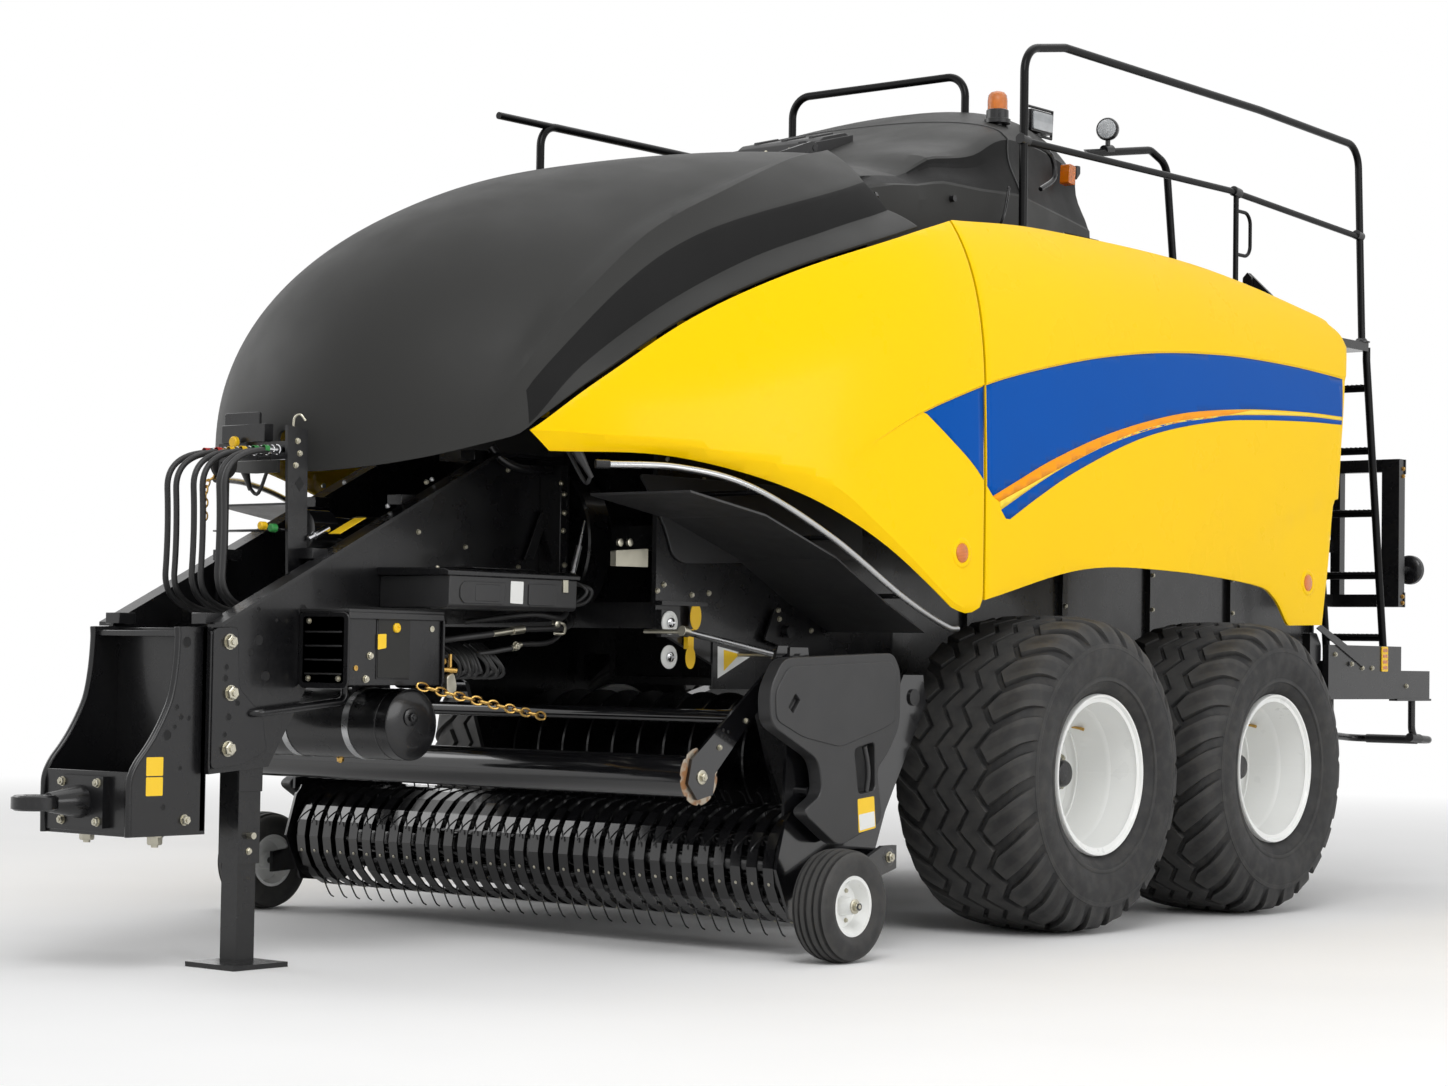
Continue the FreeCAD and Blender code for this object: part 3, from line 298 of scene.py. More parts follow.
def add_piece(name, data, material, body, bevel=0.0, thickness=0.0, segments=2, crease=35.0):
    """Link a mesh as a piece of the object: smooth but for its sharp edges, on its body."""
    data.materials.append(M[material])
    data.shade_smooth()
    data.set_sharp_from_angle(angle=math.radians(crease))
    piece = linked(name, data)
    if thickness:
        solid = piece.modifiers.new("thickness", "SOLIDIFY")
        solid.thickness = thickness
        solid.offset = -1.0
    if bevel:
        edge = piece.modifiers.new("edges", "BEVEL")
        edge.width = bevel
        edge.segments = segments
        edge.limit_method = "ANGLE"
        edge.angle_limit = math.radians(38)
        edge.use_clamp_overlap = True
        edge.harden_normals = False
    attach(piece, body)
    return piece


def turns(sides):
    """Even angles round a full turn."""
    return (2 * math.pi * i / sides for i in range(sides))


def rect(a, b, c, d):
    """A rectangle's corners, from its lowest and highest."""
    return [(a, b), (c, b), (c, d), (a, d)]


def turned_axes(axis):
    """Two directions across an axis."""
    axis = Vector(axis).normalized()
    side = axis.orthogonal().normalized()
    return axis, side, axis.cross(side)


class Kit:
    """Many small solids of one material on one body, made as one piece."""

    def __init__(self, name, material, body="chassis"):
        self.name, self.material, self.body = name, material, body
        self.verts, self.faces = [], []

    def solid(self, verts, faces):
        start = len(self.verts)
        self.verts += [Vector(v) for v in verts]
        self.faces += [tuple(start + index for index in face) for face in faces]
        return self

    def loft(self, rings, caps=True, closed=False):
        """Rings of as many points each, joined into a skin."""
        count = len(rings[0])
        faces = []
        for k in range(len(rings) - (0 if closed else 1)):
            a, b = k * count, ((k + 1) % len(rings)) * count
            faces += [(a + i, a + (i + 1) % count, b + (i + 1) % count, b + i) for i in range(count)]
        if caps and not closed:
            faces.append(tuple(reversed(range(count))))
            faces.append(tuple(range((len(rings) - 1) * count, len(rings) * count)))
        return self.solid([point for ring in rings for point in ring], faces)

    def box(self, low, high):
        (x0, y0, z0), (x1, y1, z1) = low, high
        return self.loft([[(x0, y0, z), (x1, y0, z), (x1, y1, z), (x0, y1, z)] for z in (z0, z1)])

    def prism(self, outline, axis, start, end):
        """An outline in the two other directions, drawn from start to end along x, y or z."""
        place = {"x": lambda a, b, c: (c, a, b), "y": lambda a, b, c: (a, c, b), "z": lambda a, b, c: (a, b, c)}[axis]
        rings = [[place(a, b, c) for a, b in outline] for c in (start, end)]
        return self.loft(rings if axis != "y" else rings[::-1])

    def plate(self, corners, radius, axis, start, end):
        """A prism with its corners rounded."""
        return self.prism(rounded_outline(corners, radius), axis, start, end)

    def lathe(self, profile, at, axis, sides=32, closed=False):
        """A solid turned about an axis through a point, from (distance along, radius) pairs."""
        along, side, other = turned_axes(axis)
        at = Vector(at)
        return self.loft([[at + along * h + (side * math.cos(t) + other * math.sin(t)) * r for t in turns(sides)]
                          for h, r in profile], closed=closed)

    def ring(self, profile, at, axis, sides=64):
        """A closed section turned about an axis, open in the middle."""
        return self.lathe(profile, at, axis, sides, closed=True)

    def rod(self, start, end, radius, sides=16):
        start, end = Vector(start), Vector(end)
        return self.lathe([(0, radius), ((end - start).length, radius)], start, end - start, sides)

    def bar(self, points, radius, sides=10, closed=False):
        """A round bar along a smooth line through the points."""
        points = [Vector(p) for p in points]
        count = len(points)
        rings = []
        previous = None
        for index, point in enumerate(points):
            before = points[index - 1] if index or closed else point
            after = points[(index + 1) % count] if index < count - 1 or closed else point
            tangent = (after - before).normalized()
            side = tangent.orthogonal() if previous is None else previous - tangent * previous.dot(tangent)
            side = side.normalized()
            previous = side
            other = tangent.cross(side)
            rings.append([point + (side * math.cos(t) + other * math.sin(t)) * radius for t in turns(sides)])
        return self.loft(rings, closed=closed)

    def wire(self, points, steps, radius, sides):
        """A bar along a smooth line through a few points."""
        return self.bar(curve_through(points, steps), radius, sides)

    def hex(self, at, axis, size, height):
        """A bolt: washer, hexagon head with its chamfer, and the thread's end on top."""
        along, side, other = turned_axes(axis)
        at = Vector(at)
        self.lathe([(0, size * 1.15), (height * 0.18, size * 1.15)], at, along, 20)
        self.lathe([(height * 0.18, size), (height * 0.85, size), (height, size * 0.86)], at, along, 6)
        return self.lathe([(height, size * 0.5), (height * 1.25, size * 0.46)], at, along, 12)

    def hexes(self, spots, x, size, height):
        """Bolts that face +X at side-view points."""
        for y, z in spots:
            self.hex((x, y, z), X, size, height)
        return self

    def mirror(self):
        """Add the same solids on the machine's other side."""
        start = len(self.verts)
        self.verts += [Vector((-v.x, v.y, v.z)) for v in self.verts]
        self.faces += [tuple(start + index for index in reversed(face)) for face in self.faces[:]]
        return self

    def pair(self, **settings):
        """Make the piece together with its like on the machine's other side."""
        return self.mirror().make(**settings)

    def make(self, bevel=0.0, crease=35.0, segments=2):
        data = mesh_of(self.name, self.verts, self.faces)
        return add_piece(self.name, data, self.material, self.body, bevel, crease=crease, segments=segments)


def curve_through(points, steps=8):
    """A smooth line through the points (Catmull-Rom), as vectors."""
    points = [Vector(p) for p in points]
    ends = [points[0] * 2 - points[1]] + points + [points[-1] * 2 - points[-2]]
    line = []
    for a, b, c, d in zip(ends, ends[1:], ends[2:], ends[3:]):
        for step in range(steps):
            t = step / steps
            square, cube = (2 * a - 5 * b + 4 * c - d) * t * t, (3 * b - a - 3 * c + d) * t ** 3
            line.append(0.5 * ((2 * b) + (c - a) * t + square + cube))
    return line + [points[-1]]


def smooth(low, high, number):
    t = min(max((number - low) / (high - low), 0.0), 1.0)
    return t * t * (3.0 - 2.0 * t)


def level_at(points, y):
    """The height of a line of (y, z) points at a station, held level beyond its ends."""
    if y <= points[0][0]:
        return points[0][1]
    for (a, za), (b, zb) in zip(points, points[1:]):
        if y <= b:
            return za + (zb - za) * (y - a) / (b - a)
    return points[-1][1]


# ---------------------------------------------------------------- hoses
HOSE_RADIUS = 0.01
HOSES = ((-0.15, 0.0, 0.004), (-0.09, 0.014, -0.006), (-0.03, -0.008, 0.008), (0.03, 0.006, -0.004),
         (0.09, -0.012, 0.006), (0.14, 0.01, -0.008))


def make_hose(index, x, reach, drop):
    route = [(-2.76, 1.67), (-3.012 - reach, 1.67), (-2.994 - reach, 1.4 + drop), (-3.012 - reach, 1.13), (-2.76, 1.13)]
    data = bpy.data.curves.new(f"hose_{index}", "CURVE")
    data.dimensions = "3D"
    spline = data.splines.new("NURBS")
    spline.points.add(len(route) - 1)
    for point, (y, z) in zip(spline.points, route):
        point.co = (x, y, z, 1.0)
    spline.order_u = 3
    spline.use_endpoint_u = True
    spline.resolution_u = 16
    data.bevel_depth = HOSE_RADIUS
    data.bevel_resolution = 5
    data.use_fill_caps = True
    data.materials.append(M["hose"])
    hose = linked(f"hose_{index}", data)
    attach(hose, "chassis")
    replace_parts(hose, "hydraulic_hoses")


for number, hose in enumerate(HOSES, start=1):
    make_hose(number, *hose)


# ---------------------------------------------------------------- body shell
SHELL_NOSE, SHELL_PLAN, SHELL_CROWN = -2.632, 2.337, 2.993
SHELL_HALF, SHELL_BASE, SHELL_RISE = 1.29, 1.72, 1.27
SEAM_Y, SEAM_HALF = -0.372, 0.0075
SKIN = 0.012


def rounded(share, size, power):
    return size * max(0.0, 1.0 - share ** power) ** (1.0 / power)


def shell_section(y):
    """Half width, height and squareness of the shell's skin at a station."""
    plan = min(max((SHELL_NOSE + SHELL_PLAN - y) / SHELL_PLAN, 0.0), 1.0)
    crown = min(max((SHELL_NOSE + SHELL_CROWN - y) / SHELL_CROWN, 0.0), 1.0)
    return rounded(plan, SHELL_HALF, 2.14), rounded(crown, SHELL_RISE, 2.2), 2.1 + 1.2 * smooth(-1.9, -0.5, y)


def skin_x(y, z):
    """How far out the skin is at a side-view point."""
    half, rise, power = shell_section(y)
    share = max(0.0, (z - SHELL_BASE) / max(rise, 1e-6))
    return rounded(min(share, 1.0), half, power)


def skin_normal(y, z):
    step = 0.004
    slope_y = (skin_x(y + step, z) - skin_x(y - step, z)) / (2 * step)
    slope_z = (skin_x(y, z + step) - skin_x(y, z - step)) / (2 * step)
    return Vector((1.0, -slope_y, -slope_z)).normalized()


def on_skin(y, z, out=0.0):
    return Vector((skin_x(y, z), y, z)) + skin_normal(y, z) * out


HOOD_SEAM = [(-2.245, 1.748), (-2.041, 1.925), (-1.687, 2.16), (-1.239, 2.365), (-0.7, 2.545),
             (SEAM_Y - SEAM_HALF, 2.64)]
FRONT_LOWER = [(-2.19, 1.684), (-1.8, 1.68), (-1.31, 1.582), (-0.948, 1.433), (-0.56, 1.205)]
BEVEL = [(-2.245, 1.748), (-2.11, 1.745), (-1.759, 1.719), (-1.249, 1.636), (-0.949, 1.475), (-0.604, 1.252),
         (-0.5, 1.205)]
SWAGE = [(-1.235, 1.634), (-1.06, 1.742), (-0.862, 1.846), (-0.734, 1.904), (-0.565, 1.966), (-0.321, 2.043),
         (-0.038, 2.111), (0.346, 2.187), (0.668, 2.236), (0.956, 2.269), (1.268, 2.292), (1.588, 2.305),
         (2.016, 2.304), (2.341, 2.292), (2.6, 2.277)]
REAR_TOP = [(SEAM_Y + SEAM_HALF, 2.645), (0.3, 2.69), (1.4, 2.68), (2.3, 2.56), (2.44, 2.518), (2.51, 2.482),
            (2.538, 2.43)]
REAR_EDGE = [(2.538, 2.43), (2.47, 2.27), (2.39, 1.99), (2.355, 1.745)]
REAR_STEP = [(2.355, 1.745), (2.325, 1.738), (2.215, 1.192), (1.92, 1.185)]
ARCH = [(1.9, 1.2), (1.79, 1.3), (1.61, 1.35), (0.94, 1.385), (0.3, 1.37), (SEAM_Y + SEAM_HALF, 1.237)]
REAR_CREASE = [(1.582, 1.514), (1.76, 1.59), (1.932, 1.642), (2.135, 1.704), (2.354, 1.742)]


def side_curve(points, steps=8):
    """A smooth line through (y, z) points, as (y, z) pairs."""
    return [(point.x, point.y) for point in curve_through([(a, b, 0.0) for a, b in points], steps)]


SWAGE_LINE = side_curve(SWAGE)
BEVEL_LINE = side_curve(BEVEL)
CREASE_LINE = side_curve(REAR_CREASE)
LIP = 0.006


def relief(y, z):
    """How far the pressed shape stands off the plain skin: the swage, the folded lower edge and the rear crease."""
    under = level_at(SWAGE_LINE, y) - z
    depth = -LIP * smooth(-1.15, -0.75, y) * smooth(0.0, LIP, under) * (1.0 - smooth(0.04, 0.42, under))
    if y < SEAM_Y:
        below = level_at(BEVEL_LINE, y) - z
        if below > 0:
            depth -= 0.42 * below
    elif y > 1.4:
        below = level_at(CREASE_LINE, y) - z
        depth -= LIP * smooth(1.5, 2.1, y) * smooth(0.0, LIP, below) * (1.0 - smooth(0.03, 0.3, below))
    return depth


def outline_mesh(name, outlines, step, place):
    """Side-view outlines that share their common corners, cut into a grid and put in place by a function of (y, z)."""
    mesh = bmesh.new()
    known = {}
    for outline in outlines:
        corners = []
        for y, z in outline:
            key = (round(y, 5), round(z, 5))
            if key not in known:
                known[key] = mesh.verts.new((0.0, y, z))
            if not corners or corners[-1] is not known[key]:
                corners.append(known[key])
        if corners[0] is corners[-1]:
            corners.pop()
        mesh.faces.new(corners)
    low = Vector([min(v.co[i] for v in mesh.verts) for i in range(3)])
    high = Vector([max(v.co[i] for v in mesh.verts) for i in range(3)])
    for axis in (1, 2):
        normal = Vector(Y) if axis == 1 else Vector(Z)
        for k in range(1, int((high[axis] - low[axis]) / step) + 1):
            at = Vector((0, 0, 0))
            at[axis] = low[axis] + k * step + 0.00037
            if at[axis] < high[axis] - 0.001:
                bmesh.ops.bisect_plane(mesh, geom=mesh.verts[:] + mesh.edges[:] + mesh.faces[:], dist=1e-6,
                                       plane_co=at, plane_no=normal)
    for face in mesh.faces:
        face.normal_update()
        if face.normal.x < 0:
            face.normal_flip()
    for vert in mesh.verts:
        vert.co = place(vert.co.y, vert.co.z)
    data = bpy.data.meshes.new(name)
    mesh.to_mesh(data)
    mesh.free()
    return data


def mirrored_mesh(data, name):
    twin = data.copy()
    twin.name = name
    twin.transform(Matrix.Scale(-1.0, 4, X))
    twin.flip_normals()
    return twin


def on_shield(y, z):
    return on_skin(y, z, relief(y, z))


def cut_line(line, low, high):
    """The part of a (y, z) line between two stations, with its ends worked out."""
    return ([(low, level_at(line, low))] if low > line[0][0] else []) + [p for p in line if low < p[0] < high] \
        + ([(high, level_at(line, high))] if high < line[-1][0] else [])


def lowered(line, drop):
    return [(y, z - drop) for y, z in line]


def front_shield_outlines():
    seam_front = SEAM_Y - SEAM_HALF
    top = side_curve(HOOD_SEAM)
    bevel = BEVEL_LINE
    meet = min(range(len(bevel)), key=lambda k: abs(bevel[k][0] - SWAGE[0][0]))
    swage = [bevel[meet]] + cut_line(SWAGE_LINE, bevel[meet][0] + 0.04, seam_front)
    lip = [bevel[meet]] + lowered(swage[1:], LIP)
    corner = [(seam_front, 1.27), (-0.383, 1.236), (-0.4, 1.208), (-0.44, 1.19), (-0.48, 1.186)]
    lower = [(-2.19, 1.684)] + side_curve(FRONT_LOWER)[1:]
    above = top + swage[::-1] + bevel[1:meet][::-1]
    ramp = swage + lip[1:][::-1]
    below = lip + corner + bevel[meet + 1:][::-1]
    fold = bevel + [corner[-1]] + [(-0.52, 1.193)] + lower[::-1]
    return [above, ramp, below, fold]


def rear_shield_outlines():
    seam_rear = SEAM_Y + SEAM_HALF
    top = side_curve(REAR_TOP)
    edge = side_curve(REAR_EDGE)
    line = cut_line(SWAGE_LINE, seam_rear, 2.46)
    meet = min(range(1, len(edge) - 1), key=lambda k: abs(edge[k][1] - line[-1][1]))
    line = [p for p in line if p[0] < edge[meet][0] - 0.02] + [edge[meet]]
    lip = lowered(line[:-1], LIP) + [edge[meet]]
    arch = side_curve(ARCH)
    above = top + edge[1:meet + 1] + line[:-1][::-1]
    ramp = line + lip[:-1][::-1]
    below = lip + edge[meet + 1:] + REAR_STEP[1:] + arch
    return [above, ramp, below]


def cad_faces(node, test, name):
    """The faces of a CAD node whose corners all pass a test, as a new mesh."""
    mesh = bmesh.new()
    mesh.from_mesh(NODES[node].data)
    gone = [face for face in mesh.faces if not all(test(vert.co) for vert in face.verts)]
    bmesh.ops.delete(mesh, geom=gone, context="FACES")
    bmesh.ops.remove_doubles(mesh, verts=mesh.verts, dist=1e-5)
    data = bpy.data.meshes.new(name)
    mesh.to_mesh(data)
    mesh.free()
    return data


LUG_STATIONS = {"front": (-0.65, -0.6), "rear": (0.7, 2.2)}
LUG_THICK = 0.016
LUG_AXIS = 0.955
ARM_SLANT = 0.8


def in_lug(end):
    return lambda p: any(y - 1e-4 <= p.y <= y + LUG_THICK + 1e-4 for y in LUG_STATIONS[end])


def make_shields():
    for end, outlines in (("front", front_shield_outlines()), ("rear", rear_shield_outlines())):
        data = outline_mesh(f"shield_{end}", outlines, 0.035, on_shield)
        for side in ("left", "right"):
            body = f"shield_{end}_{side}"
            name = f"shield_{end}_{side}_skin"
            mesh = data.copy() if side == "left" else mirrored_mesh(data, name)
            skin = add_piece(name, mesh, "yellow", body, bevel=0.004, thickness=SKIN, crease=24)
            node = f"side_shield_{end}_{side}"
            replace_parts(skin, node)
            arms = cad_faces(node, in_lug(end), f"{node}_arms")
            for vert in arms.vertices:
                if vert.co.y > LUG_STATIONS["rear"][-1] - LUG_THICK:
                    vert.co.z -= ARM_SLANT * max(0.0, abs(vert.co.x) - LUG_AXIS)
            add_piece(f"shield_{end}_{side}_arms", arms, "frame", body)


make_shields()

# ---------------------------------------------------------------- stripes
VINYL = 0.0008
BLUE_LEFT = [(-0.734, 1.904), (-0.588, 1.817), (-0.439, 1.722), (-0.323, 1.619)]
BLUE_LOW = [(-0.323, 1.619), (-0.179, 1.677), (0.057, 1.77), (0.346, 1.865), (0.614, 1.937), (0.936, 2.005),
            (1.227, 2.047), (1.655, 2.084), (2.1, 2.104), (2.412, 2.108)]
ORANGE_LOW = [(-0.28, 1.6), (-0.112, 1.661), (0.144, 1.753), (0.415, 1.843), (0.702, 1.92), (1.0, 1.982), (1.28, 2.021)]
THIN_TOP = [(-0.268, 1.571), (-0.011, 1.686), (0.232, 1.781), (0.607, 1.902), (0.927, 1.974), (1.322, 2.031),
            (1.645, 2.06), (2.091, 2.086), (2.406, 2.091)]
THIN_LOW = [(-0.209, 1.539), (-0.009, 1.635), (0.231, 1.738), (0.601, 1.867), (0.919, 1.946), (1.314, 2.009),
            (1.635, 2.038), (2.08, 2.063), (2.4, 2.072)]


def decal(name, outline, material, end):
    """A vinyl stripe on both shields of an end, a hair off the paint."""
    data = outline_mesh(name, [outline], 0.035, lambda y, z: on_skin(y, z, relief(y, z) + VINYL))
    for side in ("left", "right"):
        mesh = data.copy() if side == "left" else mirrored_mesh(data, name)
        add_piece(f"{name}_{side}", mesh, material, f"shield_{end}_{side}", thickness=VINYL * 0.6, crease=24)


def make_stripes():
    margin = 0.004
    front, rear = SEAM_Y - SEAM_HALF - margin, SEAM_Y + SEAM_HALF + margin
    top = lowered(SWAGE_LINE, LIP + 0.002)
    left = side_curve(BLUE_LEFT)
    decal("stripe_tip", [(left[0][0], left[0][1] - LIP)] + cut_line(top, left[0][0] + 0.01, front) + cut_line(left,
        left[0][0] + 0.02, front)[::-1], "blue", "front")
    low = side_curve(BLUE_LOW)
    decal("stripe_blue", cut_line(top, rear, 2.448) + [(2.44, 2.24), (2.425, 2.17)] + low[::-1] + cut_line(left, rear,
        left[-1][0] - 0.002)[::-1], "blue", "rear")
    orange = side_curve(ORANGE_LOW)
    upper = [p for p in side_curve(BLUE_LOW) if p[0] < 1.3]
    decal("stripe_orange", [(y, z - 0.001) for y, z in upper] + [(1.6, 2.0775)] + orange[::-1], "orange", "rear")
    decal("stripe_light", orange + [(1.6, 2.0765), (2.05, 2.098), (2.409, 2.104)] + lowered(side_curve(THIN_TOP),
        -0.002)[::-1], "light_yellow", "rear")
    decal("stripe_thin", side_curve(THIN_TOP) + side_curve(THIN_LOW)[::-1] + [(-0.236, 1.54)], "blue", "rear")


make_stripes()


# ---------------------------------------------------------------- hood
NOSE_LOWER = [(-2.619, 1.609), (-2.546, 1.63), (-2.468, 1.657), (-2.38, 1.692), (-2.295, 1.724), (-2.262, 1.742)]
HOOD_LIFT = 0.014
HOOD_GROOVE = 0.042
# where the last row lies at the lower edge, the band, the crease and the crown
HOOD_END = (-0.6, -0.64, -0.7, -0.62, -0.25)
BAND_LOW = [(-2.258, 1.752), (-2.079, 1.977), (-1.774, 2.207), (-1.373, 2.422), (-0.968, 2.576), (-0.494, 2.746),
            (-0.25, 2.96)]
BAND_HIGH = [(-2.331, 1.723), (-2.19, 1.958), (-1.873, 2.253), (-1.449, 2.502), (-0.761, 2.733), (-0.448, 2.839),
             (-0.25, 2.985)]
CREASE = [(-2.383, 1.705), (-2.297, 1.876), (-2.088, 2.134), (-1.7, 2.434), (-1.3, 2.64), (-0.915, 2.799),
          (-0.56, 2.895), (-0.25, 3.01)]


HOOD_LOWER = NOSE_LOWER + [p for p in side_curve([(y - 0.006, z + HOOD_LIFT) for y, z in HOOD_SEAM])
                           if p[0] > -2.24] + [(0.0, 2.72)]
HOOD_FEATURES = [side_curve(line, 6) for line in (BAND_LOW, BAND_HIGH, CREASE)]


def angle_at(y, z):
    """Where a height lies round the skin's section: 0 at the base, a quarter turn at the crown, below 0 under it."""
    _, rise, power = shell_section(y)
    if z <= SHELL_BASE:
        return (z - SHELL_BASE) / 0.3
    return math.asin(min(((z - SHELL_BASE) / max(rise, 1e-6)) ** (power / 2), 1.0))


def at_angle(y, turn):
    half, rise, power = shell_section(y)
    if turn <= 0:
        return Vector((half, y, SHELL_BASE + 0.3 * turn))
    return Vector((half * max(math.cos(turn), 0.0) ** (2 / power), y,
                   SHELL_BASE + rise * math.sin(turn) ** (2 / power)))


def hood_stations(count=88):
    stations = []
    for k in range(count + 1):
        turn = math.pi / 2 * (0.012 + 0.988 * k / count)
        stations.append(SHELL_NOSE + SHELL_PLAN * (1 - math.cos(turn) ** (2 / 2.14)))
    return stations + [-0.272, -0.25]


def pulled(y, part, share):
    """Draws the rear of the hood forward, so that its last row follows the seam with the cover."""
    front, back = -1.3, -0.25
    first, last = HOOD_END[part], HOOD_END[part + 1]
    end = first + (last - first) * (smooth(0.0, 0.55, share) if part == 3 else share)
    return y if y < front else front + (y - front) * (end - front) / (back - front)


def hood_knots(y):
    """The section's angles at a station: the lower edge, both sides of the band, the crease and the crown."""
    low = angle_at(y, level_at(HOOD_LOWER, y))
    knots = [low]
    for line in HOOD_FEATURES:
        start = line[0][0]
        turn = angle_at(y, level_at(line, y)) if y > start else \
            low + (angle_at(start, line[0][1]) - angle_at(start,
                level_at(HOOD_LOWER, start))) * (y - SHELL_NOSE) / (start - SHELL_NOSE)
        knots.append(min(max(turn, knots[-1] + 0.012), math.pi / 2 - 0.05 * (4 - len(knots))))
    return knots + [math.pi / 2]


CREASE_RISE = 0.026


HOOD_SPANS = (7, 7, 7, 26)  # faces round the section: to the band, across it, to the crease, to the crown
BAND_RISE, BAND_FRONT = 0.004, -2.262


def make_hood():
    """The hood as one skin: its rows run round the section, and its columns follow the band and the crease; the band's
    faces are painted darker as shade.
    """
    parts = [part for part, count in enumerate(HOOD_SPANS) for _ in range(count)]
    rows = []
    for station in hood_stations():
        row = []
        for part, count in enumerate(HOOD_SPANS):
            for k in range(count + (part == 3)):
                share = k / count
                y = pulled(station, part, share)
                knots = hood_knots(y)
                turn = knots[part] + (knots[part + 1] - knots[part]) * share
                if part == 0:
                    depth = -HOOD_GROOVE * share
                elif part == 1:
                    depth = -HOOD_GROOVE * (1.0 - share) + BAND_RISE * share
                elif part == 2:
                    depth = BAND_RISE + CREASE_RISE * share ** 1.6
                else:
                    depth = (BAND_RISE + CREASE_RISE) * (1.0 - smooth(0.0, 0.12, share))
                fade = smooth(-2.25, -1.85, y) if part < 2 else smooth(-2.4, -2.1, y)
                row.append((at_angle(y, turn), depth * fade))
        rows.append(row)
    wide = len(rows[0])
    points = [[entry[0] for entry in row] for row in rows]
    verts, faces, painted_shade_faces = [], [], []
    for r, row in enumerate(rows):
        placed = []
        for c, (point, depth) in enumerate(row):
            across = points[r][min(c + 1, wide - 1)] - points[r][max(c - 1, 0)]
            along = points[min(r + 1, len(rows) - 1)][c] - points[max(r - 1, 0)][c]
            normal = across.cross(along)
            if normal.length > 1e-9:
                normal = normal.normalized() * (-1 if normal.dot(Vector((1, -0.3, 1))) < 0 else 1)
            else:
                normal = Vector(Z)
            placed.append(point + normal * depth)
        placed[-1].x = 0.0
        verts += placed + [Vector((-p.x, p.y, p.z)) for p in reversed(placed[:-1])]
    full = 2 * wide - 1
    for r in range(len(rows) - 1):
        for c in range(full - 1):
            a = r * full + c
            faces.append((a, a + 1, a + full + 1, a + full))
            # faces across the band take the darker material: painted shade
            painted_shade_faces.append(parts[min(c, full - 2 - c)] == 1 and rows[r][0][0].y > BAND_FRONT)
    data = bpy.data.meshes.new("hood_skin")
    data.from_pydata(verts, [], faces)
    for face, dark in zip(data.polygons, painted_shade_faces):
        face.material_index = int(dark)
    turned(data, merge=2e-4, upright=True)
    hood = add_piece("hood_skin", data, "charcoal", "hood", bevel=0.004, thickness=SKIN, crease=26)
    # second material: the darker moulding that paints the band's shade
    hood.data.materials.append(M["painted_band_shade"])
    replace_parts(hood, "front_hood")
    lugs = cad_faces("front_hood", lambda p: 0.3215 < abs(p.x) < 0.3425 and p.y > -0.45, "hood_lugs_mesh")
    add_piece("hood_lugs", lugs, "frame", "hood")


make_hood()


# ---------------------------------------------------------------- CAD nodes that keep their shape
CAD_FINISH = {"gloss": ("pickup_guards", "crop_roller", "pickup_frame", "windguard_arms", "pickup_reel", "gauge_arms",
                        "drive_shaft"), "moulded": ("inner_fenders", "twine_boxes"),
              "rail": ("handrails", "grab_hoop", "ladder"), "white": ("rim_front_left", "rim_front_right",
    "rim_rear_left", "rim_rear_right", "gauge_rim_left", "gauge_rim_right"), }


def dress_cad():
    finishes = {node: material for material, nodes in CAD_FINISH.items() for node in nodes}
    for node, piece in NODES.items():
        material = M[finishes.get(node, "frame")]
        if not piece.material_slots:
            piece.data.materials.append(material)
        for slot in piece.material_slots:
            slot.material = material


dress_cad()


# ---------------------------------------------------------------- main tyres and rims
WHEELS = {f"{end}_{side}": (sign, y) for end, y in (("front", 0.15), ("rear", 1.486)) for side, sign in SIDES}
WHEEL_X, WHEEL_Z = 1.197, 0.595
PITCHES = 24
PHASES = (0.0, 0.04, 0.17, 0.3, 0.34, 0.5, 0.54, 0.67, 0.8, 0.84)
ZIG = 0.027
SLANT = 0.62
# one side of the section from the crown to the bead: across, radius, share of the zig-zag, groove depth, notch depth
TREAD = ((0.0, 0.595, 1.0, 0.0, 0.0), (0.031, 0.5949, 1.0, 0.0, 0.0), (0.036, 0.5948, 1.0, 0.015, 0.015),
         (0.048, 0.5947, 1.0, 0.015, 0.015), (0.053, 0.5945, 1.0, 0.0, 0.0), (0.088, 0.5935, 1.0, 0.0, 0.0),
         (0.12, 0.5917, 1.0, 0.0, 0.0), (0.126, 0.5913, 1.0, 0.019, 0.019), (0.144, 0.59, 1.0, 0.019, 0.019),
         (0.15, 0.5896, 1.0, 0.0, 0.019), (0.18, 0.5865, 0.9, 0.0, 0.019), (0.21, 0.5815, 0.7, 0.0, 0.019),
         (0.238, 0.574, 0.45, 0.0, 0.019), (0.258, 0.564, 0.25, 0.0, 0.019), (0.272, 0.551, 0.1, 0.0, 0.018),
         (0.284, 0.534, 0.0, 0.0, 0.015), (0.293, 0.515, 0.0, 0.0, 0.011), (0.299, 0.498, 0.0, 0.0, 0.006),
         (0.301, 0.49, 0.0, 0.0, 0.0), (0.3035, 0.488, 0.0, 0.0, 0.0), (0.306, 0.475, 0.0, 0.0, 0.0),
         (0.3052, 0.473, 0.0, 0.0, 0.0), (0.3085, 0.452, 0.0, 0.0, 0.0), (0.3095, 0.43, 0.0, 0.0, 0.0),
         (0.3075, 0.408, 0.0, 0.0, 0.0), (0.303, 0.386, 0.0, 0.0, 0.0), (0.2965, 0.368, 0.0, 0.0, 0.0),
         (0.2985, 0.362, 0.0, 0.0, 0.0), (0.2975, 0.353, 0.0, 0.0, 0.0), (0.2905, 0.349, 0.0, 0.0, 0.0),
         (0.284, 0.333, 0.0, 0.0, 0.0), (0.272, 0.32, 0.0, 0.0, 0.0), (0.262, 0.31, 0.0, 0.0, 0.0),
         (0.256, 0.3036, 0.0, 0.0, 0.0), (0.21, 0.3034, 0.0, 0.0, 0.0))


